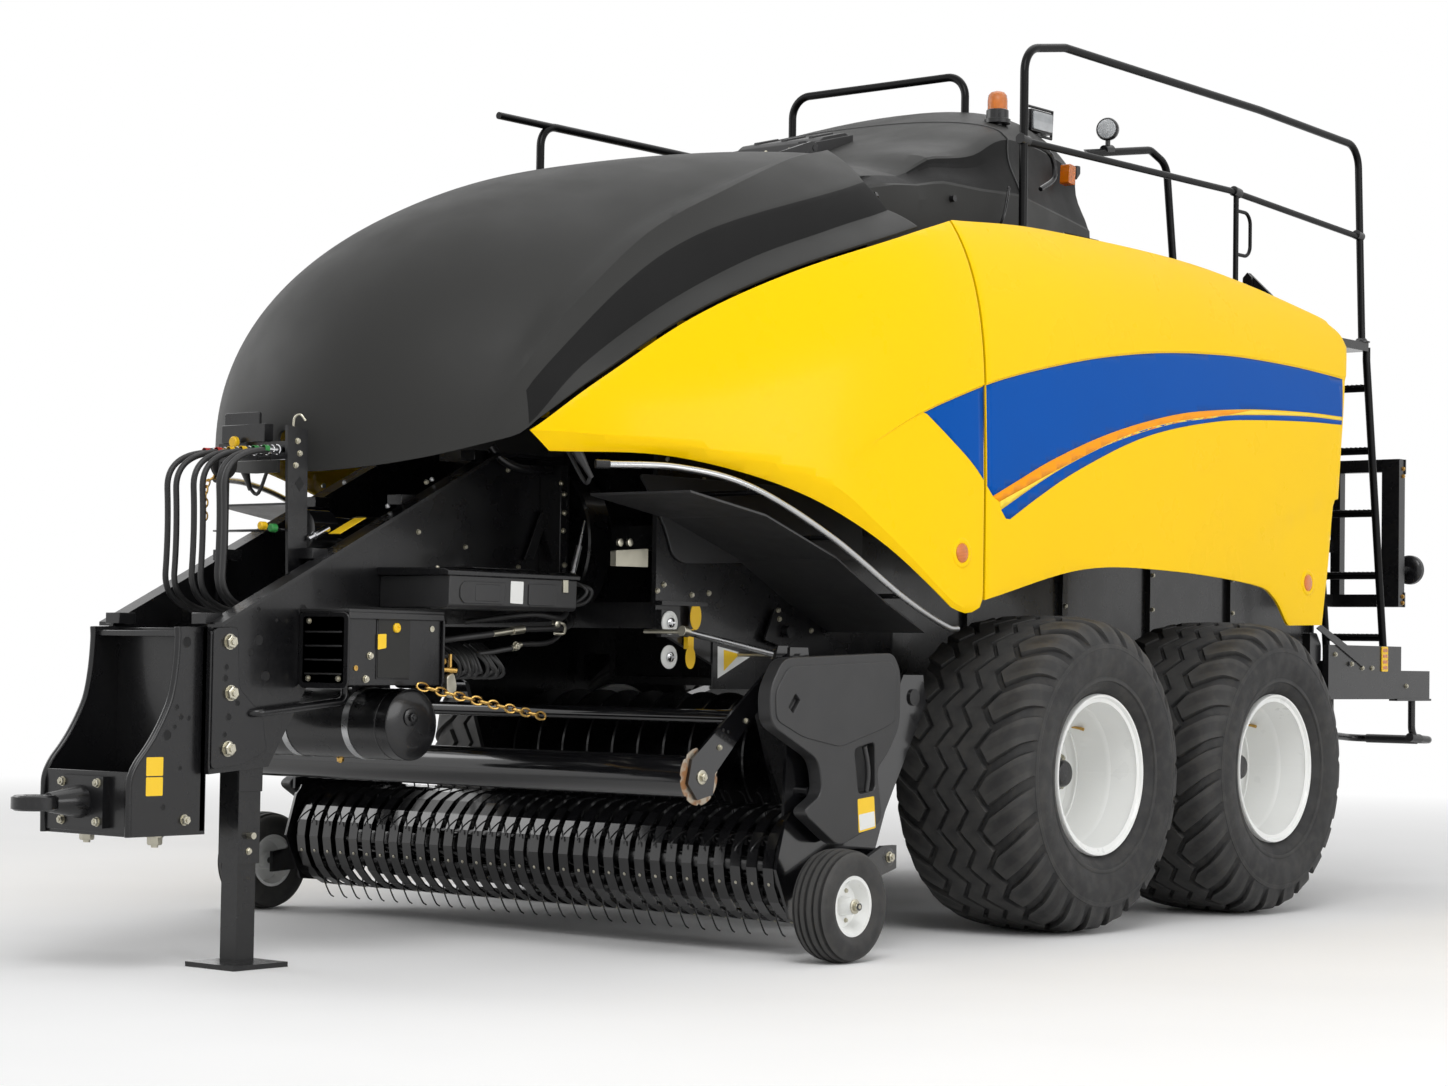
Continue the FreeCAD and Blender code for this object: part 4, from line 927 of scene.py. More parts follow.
def zig_at(phase):
    """A triangle wave with its peak where the left side's notches are and its trough at the right side's."""
    turn = (phase - 0.17) % 1.0
    return 1.0 - 4.0 * turn if turn < 0.5 else 4.0 * turn - 3.0


def tyre_mesh():
    """One tyre about the origin, its outer side towards +X: zig-zag ribs and slanting shoulder lugs."""
    rows = [(side, entry) for side, entries in ((-1, TREAD[::-1]), (1, TREAD[1:])) for entry in entries]
    radii = [entry[1] for _, entry in rows]
    across = [side * entry[0] for side, entry in rows]
    verts, faces = [], []
    columns = PITCHES * len(PHASES)
    for k, (side, (x, radius, zig, groove, notch)) in enumerate(rows):
        before, after = max(k - 1, 0), min(k + 1, len(rows) - 1)
        normal = Vector((-(radii[after] - radii[before]), across[after] - across[before])).normalized()
        lean = SLANT * max(x - 0.146, 0.0) * min(1.0, max(0.0, (0.3 - x) / 0.02 + 1.0)) / radius
        floor = (1, 2, 3) if side > 0 else (6, 7, 8)
        for pitch in range(PITCHES):
            for index, phase in enumerate(PHASES):
                depth = max(groove, notch if index in floor else 0.0)
                turn = 2 * math.pi * (pitch + phase) / PITCHES + min(lean, 0.2)
                place_x = side * x + ZIG * zig * zig_at(phase) - normal.x * depth
                place_r = radius - normal.y * depth
                verts.append((place_x, place_r * math.sin(turn), place_r * math.cos(turn)))
    for k in range(len(rows) - 1):
        for c in range(columns):
            a, b = k * columns, (k + 1) * columns
            faces.append((a + c, b + c, b + (c + 1) % columns, a + (c + 1) % columns))
    last = (len(rows) - 1) * columns
    faces += [(last + c, c, (c + 1) % columns, last + (c + 1) % columns) for c in range(columns)]
    return mesh_of("tyre", verts, faces)


def make_wheels():
    """Tyres, and what the rims carry: cap, nuts, lips and valve."""
    tyre = tyre_mesh()
    for name, (sign, y) in WHEELS.items():
        body = f"wheel_{name}"
        data = tyre.copy()
        if sign < 0:
            data.transform(Matrix.Rotation(math.pi, 4, "Z"))
        data.transform(Matrix.Translation((sign * WHEEL_X, y, WHEEL_Z)))
        piece = add_piece(f"tyre_{name}_tread", data, "rubber", body, crease=28)
        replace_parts(piece, f"tyre_{name}")
        outward = Vector((sign, 0, 0))
        hub = Vector((sign * (WHEEL_X + 0.06), y, WHEEL_Z))
        disc = Vector((sign * (WHEEL_X - 0.02), y, WHEEL_Z))
        (Kit(f"hub_{name}_cap", "frame", body)
            .lathe([(0, 0.074), (0.006, 0.076), (0.01, 0.07), (0.014, 0.052), (0.052, 0.05), (0.06, 0.044),
                    (0.063, 0.02)], hub, outward, 48)
            .make(bevel=0.001))
        nuts = Kit(f"rim_{name}_nuts", "zinc", body)
        for k in range(10):
            turn = 2 * math.pi * (k + 0.5) / 10
            around = Vector((0, math.cos(turn), math.sin(turn)))
            nuts.hex(disc + around * 0.1675, outward, 0.016, 0.024)
            if k % 2 == 0:
                nuts.hex(hub + around * 0.062 + outward * 0.006, outward, 0.006, 0.006)
        nuts.make()
        lip = Kit(f"rim_{name}_lip", "white", body)
        for edge in (-1, 1):
            middle = Vector((sign * WHEEL_X + edge * 0.262, y, WHEEL_Z))
            lip.ring([(0, 0.272), (0, 0.3018), (edge * 0.01, 0.302), (edge * 0.014, 0.299), (edge * 0.013, 0.292),
                      (edge * 0.003, 0.286), (edge * 0.001, 0.272)], middle, X, 96)
        (lip
            .ring([(0, 0.236), (0.004, 0.238), (0.004, 0.246), (0, 0.248), (-0.004, 0.242)],
                  Vector((sign * (WHEEL_X + 0.012), y, WHEEL_Z)), outward, 72)
            .ring([(0.0, 0.268), (0.004, 0.262), (0.04, 0.258), (0.075, 0.258), (0.088, 0.268), (0.088, 0.276),
                   (0.0, 0.276)], Vector((sign * (WHEEL_X + 0.075), y, WHEEL_Z)), outward, 96)
            .make(crease=50))
        valve = Kit(f"valve_{name}", "brass", body)
        foot = Vector((sign * (WHEEL_X + 0.03), y + 0.18, WHEEL_Z + 0.172))
        (valve.rod(foot, foot + Vector((sign * 0.045, -0.006, -0.006)), 0.005, 12)
            .rod(foot + Vector((sign * 0.04, -0.005, -0.005)), foot + Vector((sign * 0.056, -0.008, -0.008)), 0.0065,
                 12)
            .make())


make_wheels()


# ---------------------------------------------------------------- gauge wheels
GAUGE = (1.42, -1.4, 0.19)


def make_gauge_wheels():
    half = [(0.061, 0.1024), (0.072, 0.118), (0.0745, 0.132), (0.0735, 0.15), (0.0705, 0.166), (0.066, 0.1745),
            (0.06, 0.18), (0.056, 0.1745), (0.05, 0.1745), (0.047, 0.185), (0.034, 0.1868), (0.031, 0.179),
            (0.026, 0.179), (0.023, 0.188), (0.007, 0.1896), (0.004, 0.1815)]
    profile = [(-x, r) for x, r in half] + [(x, r) for x, r in reversed(half)] + [(0.03, 0.1022), (-0.03, 0.1022)]
    for side, sign in SIDES:
        body = f"gauge_wheel_{side}"
        centre = Vector((sign * GAUGE[0], GAUGE[1], GAUGE[2]))
        outward = Vector((sign, 0, 0))
        tyre = Kit(f"gauge_tyre_{side}_ribs", "rubber", body).ring(profile, centre, X, 96)
        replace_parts(tyre.make(crease=30), f"gauge_tyre_{side}")
        hub = (Kit(f"gauge_hub_{side}", "zinc", body)
            .lathe([(0, 0.024), (0.004, 0.025), (0.006, 0.02)], centre + outward * 0.0625, outward, 28)
            .hex(centre + outward * 0.068, outward, 0.015, 0.014))
        for k in range(5):
            turn = 2 * math.pi * k / 5
            hub.hex(centre + Vector((sign * 0.0142, 0.052 * math.cos(turn), 0.052 * math.sin(turn))), outward, 0.007,
                    0.007)
        hub.make()
        pivot = Vector((sign * (GAUGE[0] - 0.084), -1.005, 0.33))
        Kit(f"gauge_arm_{side}_bolts", "zinc", "pickup").hex(pivot, outward, 0.017, 0.016).make()
        (Kit(f"gauge_arm_{side}_pivot", "gloss", "pickup")
            .lathe([(0, 0.036), (0.006, 0.036), (0.008, 0.03)], pivot - outward * 0.008, outward, 32)
            .make(bevel=0.001))


make_gauge_wheels()


# ---------------------------------------------------------------- pickup
REEL = (-1.25, 0.3)
BAND_PITCH = 0.072


def make_tines():
    tines = Kit("pickup_tines", "frame", "reel")
    coils = Kit("pickup_tine_coils", "frame", "reel")
    for bar in range(4):
        start = math.radians(45 + 90 * bar)
        line = [(0.125, 0.0), (0.165, 0.1), (0.205, 0.26), (0.24, 0.47), (0.247, 0.56)]
        spots = [(REEL[0] + r * math.cos(start + turn), REEL[1] + r * math.sin(start + turn)) for r, turn in line]
        for gap in range(-16, 16):
            x = (gap + 0.5) * BAND_PITCH
            wander = 0.006 * math.sin(gap * 7.3 + bar * 2.1)
            points = [(x + wander * k / 4, y, z) for k, (y, z) in enumerate(spots)]
            tines.wire(points, 3, 0.0028, 6)
            coils.rod((x - 0.012, spots[0][0], spots[0][1]), (x + 0.012, spots[0][0], spots[0][1]), 0.022, 12)
    tines.make(crease=60)
    coils.make(bevel=0.001)


def make_guard_bolts():
    """Small screws that hold each band to the frame at its lower and upper ends."""
    screws = Kit("pickup_guard_screws", "zinc", "pickup")
    for index in range(-16, 17):
        x = index * BAND_PITCH
        for turn in (math.radians(196), math.radians(252)):
            out = Vector((0, math.cos(turn), math.sin(turn)))
            screws.lathe([(0, 0.006), (0.0015, 0.006), (0.0028, 0.003)], Vector((x, REEL[0], REEL[1])) + out * 0.2,
                         out, 10)
    screws.make()


def carved(data, tools):
    """A mesh with other closed meshes cut out of it."""
    base = linked("carve_base", data)
    cutters = []
    for tool in tools:
        cutter = linked("carve_tool", tool)
        cutters.append(cutter)
        step = base.modifiers.new("carve", "BOOLEAN")
        step.operation = "DIFFERENCE"
        step.solver = "EXACT"
        step.object = cutter
    result = bpy.data.meshes.new_from_object(base.evaluated_get(bpy.context.evaluated_depsgraph_get()))
    for item in [base] + cutters:
        bpy.data.objects.remove(item)
    return result


def prism_mesh(outline, axis, start, end):
    kit = Kit("prism", "frame").prism(outline, axis, start, end)
    return mesh_of("prism", kit.verts, kit.faces)


def rounded_outline(points, radius, steps=5):
    """A closed outline with its corners rounded."""
    corners = [Vector((a, b)) for a, b in points]
    line = []
    for before, corner, after in zip(corners[-1:] + corners[:-1], corners, corners[1:] + corners[:1]):
        reach = min(radius, (before - corner).length * 0.45, (after - corner).length * 0.45)
        start, end = corner + (before - corner).normalized() * reach, corner + (after - corner).normalized() * reach
        for k in range(steps + 1):
            t = k / steps
            line.append(tuple(start * (1 - t) ** 2 + corner * 2 * t * (1 - t) + end * t * t))
    return line


SHIELD_X = (1.24, 1.295)
SHIELD_LINE = [(-1.559, 1.013), (-0.934, 1.037), (-0.891, 0.974), (-0.893, 0.782), (-0.962, 0.685), (-1.026, 0.634),
               (-0.987, 0.452), (-1.24, 0.372), (-1.449, 0.497), (-1.334, 0.555), (-1.359, 0.67), (-1.624, 0.791),
               (-1.632, 0.907)]


def make_pickup_shields():
    face = SHIELD_X[1]
    recess = rounded_outline([(-1.158, 0.705), (-1.04, 0.728), (-1.034, 0.56), (-1.13, 0.548)], 0.022)
    diamond = rounded_outline([(-1.535, 0.85), (-1.497, 0.895), (-1.47, 0.872), (-1.508, 0.828)], 0.006)
    solid = carved(prism_mesh(rounded_outline(SHIELD_LINE, 0.045, 6), "x", *SHIELD_X),
                   [prism_mesh(recess, "x", face - 0.035, face + 0.02),
                    prism_mesh(diamond, "x", face - 0.018, face + 0.02)])
    panel = rounded_outline([(-1.535, 0.985), (-0.95, 1.008), (-0.918, 0.965), (-0.92, 0.8), (-0.985, 0.775),
                             (-1.24, 0.712), (-1.45, 0.748), (-1.598, 0.806), (-1.604, 0.9)], 0.03, 5)
    upper = carved(prism_mesh(panel, "x", face - 0.004, face + 0.0035),
                   [prism_mesh(diamond, "x", face - 0.018, face + 0.02)])
    (Kit("pickup_shield_grips", "moulded", "pickup")
        .wire([(face - 0.01, -1.088, 0.712), (face - 0.006, -1.076, 0.66), (face - 0.006, -1.07, 0.61),
               (face - 0.01, -1.074, 0.556)], 5, 0.009, 12)
        .pair())
    for side in ("left", "right"):
        flip = side == "right"
        piece = add_piece(f"pickup_shield_{side}", mirrored_mesh(solid, "shield") if flip else solid.copy(),
                          "moulded", "pickup", bevel=0.007, segments=3, crease=30)
        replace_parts(piece, "pickup_shields")
        add_piece(f"pickup_shield_{side}_panel", mirrored_mesh(upper, "panel") if flip else upper.copy(), "moulded",
                  "pickup", bevel=0.003, segments=3, crease=30)
    (Kit("pickup_shield_labels", "label_yellow", "pickup")
        .plate([(-1.137, 0.532), (-1.042, 0.54), (-1.03, 0.43), (-1.128, 0.416)], 0.006, "x", face, face + 0.0006)
        .pair())
    (Kit("pickup_shield_label_fields", "label_white", "pickup")
        .plate([(-1.129, 0.478), (-1.04, 0.488), (-1.034, 0.436), (-1.122, 0.423)], 0.004, "x", face, face + 0.001)
        .pair())


def make_roller_ends():
    """The crop roller's notched end discs with their bolts, and the arms' holes."""
    disc = Kit("roller_end_discs", "rusty", "windguard")
    outline = []
    for k in range(96):
        turn = 2 * math.pi * k / 96
        notch = 0.006 if k % 12 in (0, 1) else 0.0
        outline.append((-1.788 + (0.096 - notch) * math.cos(turn), 0.617 + (0.096 - notch) * math.sin(turn)))
    disc.prism(outline, "x", 1.1206, 1.124).pair(bevel=0.0006)
    (Kit("roller_end_bolts", "zinc", "windguard")
        .lathe([(0, 0.024), (0.003, 0.024), (0.004, 0.02)], (1.137, -1.79, 0.615), X, 28)
        .hex((1.14, -1.79, 0.615), X, 0.014, 0.013).hexes(((-1.7, 0.712), (-1.56, 0.8)), 1.137, 0.009, 0.008).pair())
    # dark discs on the arms: painted shade for their holes
    holes = Kit("roller_arm_holes", "hole", "windguard")
    for y, z in ((-1.672, 0.742), (-1.655, 0.764), (-1.68, 0.77), (-1.648, 0.734), (-1.69, 0.75)):
        holes.lathe([(0, 0.006), (0.0006, 0.006)], (1.137, y, z), X, 12)
    holes.pair()


make_tines()
make_guard_bolts()
make_pickup_shields()
make_roller_ends()


# ---------------------------------------------------------------- drawbar and hitch
PLATE_X, HITCH_X = 0.25, 0.215
DRAWBAR_SLOPE = 0.614 / 1.247


def punched(holes, lips, spots, x):
    """Round holes in a plate that faces +X: a dark disc of painted shade inside a thin raised lip."""
    for y, z, radius in spots:
        holes.lathe([(0, radius), (0.0006, radius)], (x, y, z), X, 20)
        lips.ring([(0, radius), (0.0012, radius + 0.0004), (0.0012, radius + 0.0022), (0, radius + 0.003)], (x, y, z),
                  X, 24)


PLATE_HOLES = [(-2.763, 1.145, 0.016), (-2.951, 1.045, 0.017), (-2.984, 1.006, 0.011), (-2.918, 0.93, 0.016),
               (-2.953, 1.144, 0.005), (-2.875, 1.111, 0.005), (-2.694, 1.209, 0.006), (-2.237, 1.489, 0.004)]
HITCH_HOLES = [(-3.22, 1.035, 0.016), (-3.237, 0.8, 0.008), (-3.262, 0.77, 0.006), (-3.205, 0.797, 0.006),
               (-3.292, 0.744, 0.015), (-3.255, 0.831, 0.007), (-3.237, 0.641, 0.006), (-3.302, 0.52, 0.008)]
JOINT_HOLES = [(-3.096, 0.958, 0.008), (-3.099, 0.923, 0.009), (-3.046, 0.844, 0.008), (-3.083, 0.8, 0.01),
               (-3.097, 0.745, 0.007)]
JOINT_LINE = [(-3.15, 1.082), (-3.049, 1.086), (-3.039, 0.892), (-2.935, 0.8), (-2.929, 0.74), (-2.915, 0.69),
              (-3.016, 0.65), (-3.15, 0.635)]


def make_drawbar():
    """Joint plates, punched holes, bolts, labels, welds and the tow eye's ring and bolts."""
    (Kit("drawbar_joint_plates", "frame").plate(JOINT_LINE, 0.022, "x", PLATE_X, PLATE_X + 0.012)
        .pair(bevel=0.002, segments=3))
    holes, lips = Kit("drawbar_holes", "hole"), Kit("drawbar_hole_lips", "frame")
    for spots, x in ((PLATE_HOLES, PLATE_X), (HITCH_HOLES, HITCH_X), (JOINT_HOLES, PLATE_X + 0.012)):
        punched(holes, lips, spots, x)
    holes.pair()
    lips.pair()
    (Kit("drawbar_bolts", "zinc")
        .hexes(((-3.085, 1.038), (-3.077, 0.876), (-3.084, 0.7)), PLATE_X + 0.012, 0.022, 0.02)
        .hex((HITCH_X, -3.216, 0.478), X, 0.015, 0.018)
        .hexes(((-2.244, 1.421), (-2.015, 1.379), (-1.807, 1.657), (-2.211, 1.592), (-1.747, 1.319)), PLATE_X, 0.008,
               0.008)
        .pair())
    labels = Kit("hitch_labels", "label_yellow")
    for low in (0.556, 0.618):
        labels.plate([(-3.372, low), (-3.305, low), (-3.305, low + 0.058), (-3.372, low + 0.058)], 0.004, "x",
                     HITCH_X, HITCH_X + 0.0006)
    labels.pair()
    seams = (Kit("hitch_welds", "frame")
        .bar([(0.252, -3.152, 0.63 + 0.01 * k + 0.0012 * (k % 2)) for k in range(45)], 0.005, 8))
    for y in (-3.15, -2.7, -2.3, -1.95):
        z = 1.098 + (y + 3.15) * DRAWBAR_SLOPE
        seams.box((0.176, y - 0.02, z - 0.006), (0.244, y + 0.05, z + 0.03))
    seams.pair(bevel=0.002)
    clips = Kit("drawbar_top_clips", "steel")
    for y, z in ((-2.353, 1.5), (-2.145, 1.602)):
        clips.hex((0.215, y, z), (0, -0.44, 0.9), 0.008, 0.01)
    clips.pair()
    corner, wide = Vector((0.19, -2.6, 1.4)), Vector((0.055, 0, 0))
    long, thick = Vector((0, 0.117, 0.0572)), Vector((0, -0.0009, 0.0018))
    lower = [corner, corner + wide, corner + wide + long, corner + long]
    quads = [(3, 2, 1, 0), (4, 5, 6, 7), (0, 1, 5, 4), (1, 2, 6, 5), (2, 3, 7, 6), (3, 0, 4, 7)]
    Kit("drawbar_yellow_tag", "label_yellow").solid(lower + [point + thick for point in lower], quads).make()
    (Kit("drawbar_zinc_fitting", "chrome").rod((0.19, -2.665, 1.392), (0.19, -2.605, 1.42), 0.013, 18)
        .rod((0.19, -2.69, 1.38), (0.19, -2.665, 1.392), 0.009, 14).make(bevel=0.001))
    nuts = Kit("hitch_lower_nut", "zinc")
    for x in (0.165, -0.165):
        nuts.hex((x, -3.29, 0.43), DOWN, 0.024, 0.03)
    nuts.make()
    eye = Kit("tow_eye_ring", "frame")
    for sign in (1, -1):
        eye.ring([(sign * 0.0185, 0.03), (sign * 0.0235, 0.036), (sign * 0.0235, 0.062), (sign * 0.0185, 0.0685)],
                 (0, -3.628, 0.534), Z)
    eye.make()
    plate = Kit("tow_eye_bolts", "zinc")
    for x in (-0.085, 0.085):
        for z in (0.474, 0.594):
            plate.hex((x, -3.454, z), FORE, 0.013, 0.014)
    plate.make()


def make_jack_details():
    leg = Kit("jack_details", "frame").box((0.218, -3.0, 0.56), (0.226, -2.9, 0.7))
    for low, high in (((0.121, -3.004), (0.229, -2.996)), ((0.121, -2.904), (0.229, -2.896)),
                      ((0.121, -2.996), (0.129, -2.904)), ((0.221, -2.996), (0.229, -2.904))):
        leg.box((*low, 0.86), (*high, 0.876))
    leg.rod((0.175, -2.996, 0.8), (0.175, -3.06, 0.8), 0.016, 18).make(bevel=0.002)
    (Kit("jack_crank", "steel")
        .wire([(0.175, -3.06, 0.8), (0.175, -3.085, 0.8), (0.17, -3.09, 0.77), (0.16, -3.09, 0.69),
               (0.15, -3.092, 0.672), (0.09, -3.092, 0.668)], 5, 0.006, 10)
        .make())
    (Kit("jack_grip", "hose")
        .lathe([(0, 0.009), (0.008, 0.012), (0.05, 0.0135), (0.092, 0.012), (0.1, 0.008)], (0.13, -3.092, 0.67),
               (-1, 0, 0), 20)
        .make())
    (Kit("jack_pin", "zinc").rod((0.221, -2.95, 0.42), (0.245, -2.95, 0.42), 0.011, 18)
        .rod((0.129, -2.95, 0.42), (0.112, -2.95, 0.42), 0.011, 18).hex((0.221, -2.95, 0.37), X, 0.01, 0.008).make())


# ---------------------------------------------------------------- boxes and tank
def make_valve_box():
    body = Kit("valve_box_body", "frame").box((0.25, -2.77, 0.905), (0.47, -2.35, 1.135))
    corner = rect(0.25, 0.893, 0.482, 1.14)
    for y in (-2.78, -2.348):
        body.plate(corner, 0.03, "y", y, y + 0.008)
    body.box((0.25, -2.645, 0.925), (0.474, -2.495, 1.124))
    piece = body.make(bevel=0.0025)
    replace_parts(piece, "valve_box")
    (Kit("valve_box_lid", "moulded").box((0.25, -2.776, 1.1385), (0.482, -2.344, 1.15))
        .box((0.4745, -2.776, 1.118), (0.482, -2.344, 1.14)).make(bevel=0.003, segments=3))
    flap = Kit("valve_box_flap", "hose").plate(rect(0.27, 0.91, 0.462, 1.125), 0.012, "y", -2.78, -2.7765)
    for z in (0.94, 0.985, 1.03, 1.075):
        flap.bar([(0.28, -2.7775, z), (0.452, -2.7775, z)], 0.004, 8)
    flap.make(bevel=0.001)
    (Kit("valve_box_panel", "charcoal").plate(rect(-2.642, 0.93, -2.498, 1.12), 0.006, "x", 0.474, 0.4765)
        .make(bevel=0.001))
    (Kit("valve_box_plug", "cap_yellow")
        .lathe([(0, 0.0155), (0.006, 0.0155), (0.009, 0.012), (0.009, 0.006), (0.006, 0.005)],
               (0.4765, -2.562, 1.092), X, 28)
        .make())
    (Kit("valve_box_label", "label_yellow")
        .plate([(-2.644, 1.02), (-2.606, 1.026), (-2.606, 1.072), (-2.644, 1.07)], 0.004, "x", 0.4765, 0.4771).make())
    bolts = (Kit("valve_box_bolts", "zinc").hex((0.47, -2.673, 1.0), X, 0.011, 0.01)
        .hex((0.47, -2.69, 0.925), X, 0.011, 0.01)
        .lathe([(0, 0.01), (0.003, 0.01), (0.003, 0.006), (0.001, 0.006)], (0.47, -2.392, 1.091), X, 18))
    for x, z in ((0.3, 0.925), (0.44, 0.925), (0.3, 1.11)):
        bolts.hex((x, -2.78, z), FORE, 0.009, 0.008)
    bolts.make()
    (Kit("valve_box_brass", "brass")
        .lathe([(0, 0.009), (0.003, 0.009), (0.003, 0.005), (0.0015, 0.005)], (0.47, -2.735, 0.96), X, 18).make())


def make_tool_box():
    """The tool box: body, lid, pressed panels, label, latch and wires."""
    body = (Kit("tool_box_body", "moulded")
        .prism([(0.25, 1.162), (0.56, 1.162), (0.572, 1.172), (0.574, 1.268), (0.25, 1.268)], "y", -2.418, -1.795))
    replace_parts(body.make(bevel=0.003, segments=3), "tool_box")
    (Kit("tool_box_lid", "frame")
        .prism([(0.25, 1.268), (0.58, 1.268), (0.58, 1.284), (0.56, 1.292), (0.25, 1.296)], "y", -2.43, -1.785)
        .box((0.3, -2.25, 1.296), (0.52, -1.95, 1.302)).make(bevel=0.003, segments=3))
    panels = Kit("tool_box_panels", "moulded")
    front = [(-2.352, 1.178), (-2.16, 1.178), (-2.152, 1.25), (-2.352, 1.25), (-2.37, 1.23), (-2.37, 1.198)]
    rear = [(-2.04, 1.178), (-1.905, 1.178), (-1.9, 1.25), (-2.04, 1.25)]
    for outline, face in ((front, 0.577), (rect(-2.3, 1.186, -2.18, 1.242), 0.5785), (rear, 0.577)):
        panels.plate(outline, 0.008, "x", 0.573, face)
    panels.make(bevel=0.0012)
    (Kit("tool_box_label", "label_white")
        .plate([(-2.128, 1.183), (-2.066, 1.181), (-2.064, 1.256), (-2.126, 1.257)], 0.003, "x", 0.5735, 0.5742)
        .make())
    (Kit("tool_box_latch", "zinc").box((0.574, -1.87, 1.225), (0.579, -1.845, 1.268))
        .hex((0.4, -2.3, 1.296), Z, 0.008, 0.007).hex((0.4, -1.9, 1.296), Z, 0.008, 0.007).make(bevel=0.001))
    (Kit("tool_box_wires", "hose")
        .wire([(0.5, -1.8, 1.245), (0.54, -1.77, 1.262), (0.58, -1.752, 1.235), (0.56, -1.77, 1.2),
               (0.5, -1.8, 1.19)], 6, 0.006, 10)
        .wire([(0.42, -1.79, 1.25), (0.46, -1.7, 1.262), (0.5, -1.64, 1.24), (0.48, -1.65, 1.195),
               (0.42, -1.7, 1.18)], 6, 0.007, 10)
        .make())


def make_tank_details():
    rings = Kit("tank_seams", "frame")
    for x in (-0.205, 0.378):
        rings.ring([(-0.004, 0.117), (-0.003, 0.1195), (0.003, 0.1195), (0.004, 0.117)], (x, -2.44, 0.775), X, 64)
    for x, sign in ((0.43, 1), (-0.26, -1)):
        (rings.lathe([(0, 0.116), (0.004, 0.108), (0.01, 0.07), (0.012, 0.02)], (x, -2.44, 0.775), (sign, 0, 0), 64)
            .lathe([(0.006, 0.03), (0.016, 0.03), (0.018, 0.024), (0.018, 0.012)], (x, -2.455, 0.8), (sign, 0, 0), 32)
            .hex((x + sign * 0.016, -2.455, 0.8), (sign, 0, 0), 0.015, 0.014))
    rings.make(bevel=0.001)
    bands = Kit("tank_straps", "steel")
    for x in (-0.06, 0.24):
        bands.ring([(-0.014, 0.118), (-0.014, 0.1205), (0.014, 0.1205), (0.014, 0.118)], (x, -2.44, 0.775), X, 64)
    bands.make()
    Kit("tank_drain", "brass").hex((0.1, -2.44, 0.657), DOWN, 0.012, 0.014).make()
    (Kit("brake_fittings", "brass").hex((0.43, -2.3, 0.985), X, 0.012, 0.012)
        .rod((0.415, -2.33, 0.96), (0.455, -2.255, 0.955), 0.009, 14)
        .rod((0.43, -2.262, 0.955), (0.43, -2.262, 1.01), 0.007, 12).make(bevel=0.001))
    (Kit("brake_valve", "zinc")
        .plate([(-2.296, 0.935), (-2.262, 0.95), (-2.246, 0.905), (-2.256, 0.86), (-2.29, 0.872)], 0.012, "x", 0.425,
               0.45)
        .make(bevel=0.003))


# ---------------------------------------------------------------- hose holder
def make_holder_details():
    """Couplers, caps, shelf and chain of the hose holder."""
    couplers, sleeves = Kit("hose_couplers", "chrome"), Kit("hose_sleeves", "zinc")
    marks = [Kit("hose_marks_red", "cap_red"), Kit("hose_caps_yellow", "cap_yellow"),
             Kit("hose_caps_green", "cap_green")]
    for index, (x, _, _) in enumerate(HOSES):
        (couplers
            .lathe([(0, 0.017), (0.028, 0.017), (0.03, 0.0145), (0.052, 0.0145), (0.054, 0.0125), (0.07, 0.0125)],
                   (x, -2.761, 1.67), FORE, 24)
            .hex((x, -2.744, 1.67), Y, 0.014, 0.016))
        sleeves.lathe([(0, 0.016), (0.022, 0.016), (0.024, 0.0135), (0.06, 0.0125)], (x, -2.761, 1.13), FORE, 24)
        marks[index // 2].ring([(-0.01, 0.0102), (-0.01, 0.0118), (0.01, 0.0118), (0.01, 0.0102)], (x, -2.84, 1.67),
                               Y, 20)
    for kit in [couplers, sleeves] + marks:
        kit.make()
    (Kit("coupler_dust_cap", "cap_yellow")
        .lathe([(0, 0.019), (0.012, 0.019), (0.016, 0.015), (0.016, 0.004)], (-0.06, -2.792, 1.7), FORE, 24)
        .lathe([(0, 0.014), (0.02, 0.014), (0.024, 0.01)], (0.1, -2.8, 1.42), FORE, 20).make())
    (Kit("coupler_green_cap", "cap_green")
        .lathe([(0, 0.014), (0.02, 0.014), (0.024, 0.01)], (0.15, -2.8, 1.412), FORE, 20).make())
    (Kit("holder_shelf", "frame").box((-0.168, -2.79, 1.405), (0.168, -2.735, 1.411))
        .box((-0.15, -2.775, 1.7), (0.06, -2.735, 1.76))
        .plate(rect(-0.14, 1.745, 0.03, 1.8), 0.01, "y", -2.772, -2.76).make(bevel=0.002))
    (Kit("holder_studs", "zinc")
        .hexes(((-2.735, 1.7), (-2.725, 1.66), (-2.742, 1.62), (-2.715, 1.18), (-2.725, 1.24)), 0.177, 0.009, 0.008)
        .wire([(0.171, -2.75, 1.735), (0.18, -2.752, 1.775), (0.2, -2.745, 1.785), (0.214, -2.735, 1.765)], 5, 0.004,
              8)
        .make())
    # a dark diamond on the plate: painted shade for its hole
    (Kit("holder_hole", "hole")
        .prism([(-2.742, 1.56), (-2.722, 1.585), (-2.702, 1.56), (-2.722, 1.535)], "x", 0.177, 0.1776).make())
    chain_links("holder_chain", [(-0.2, -2.735, 1.6), (-0.215, -2.775, 1.57), (-0.215, -2.782, 1.5),
                                 (-0.212, -2.784, 1.43)], 0.022, 0.0032, "brass")
    (Kit("holder_disc", "rubber")
        .lathe([(0, 0.05), (0.003, 0.056), (0.016, 0.056), (0.019, 0.05), (0.019, 0.02), (0.024, 0.018)],
               (-0.19, -2.72, 1.64), (-1, 0, 0), 40)
        .make(bevel=0.001))


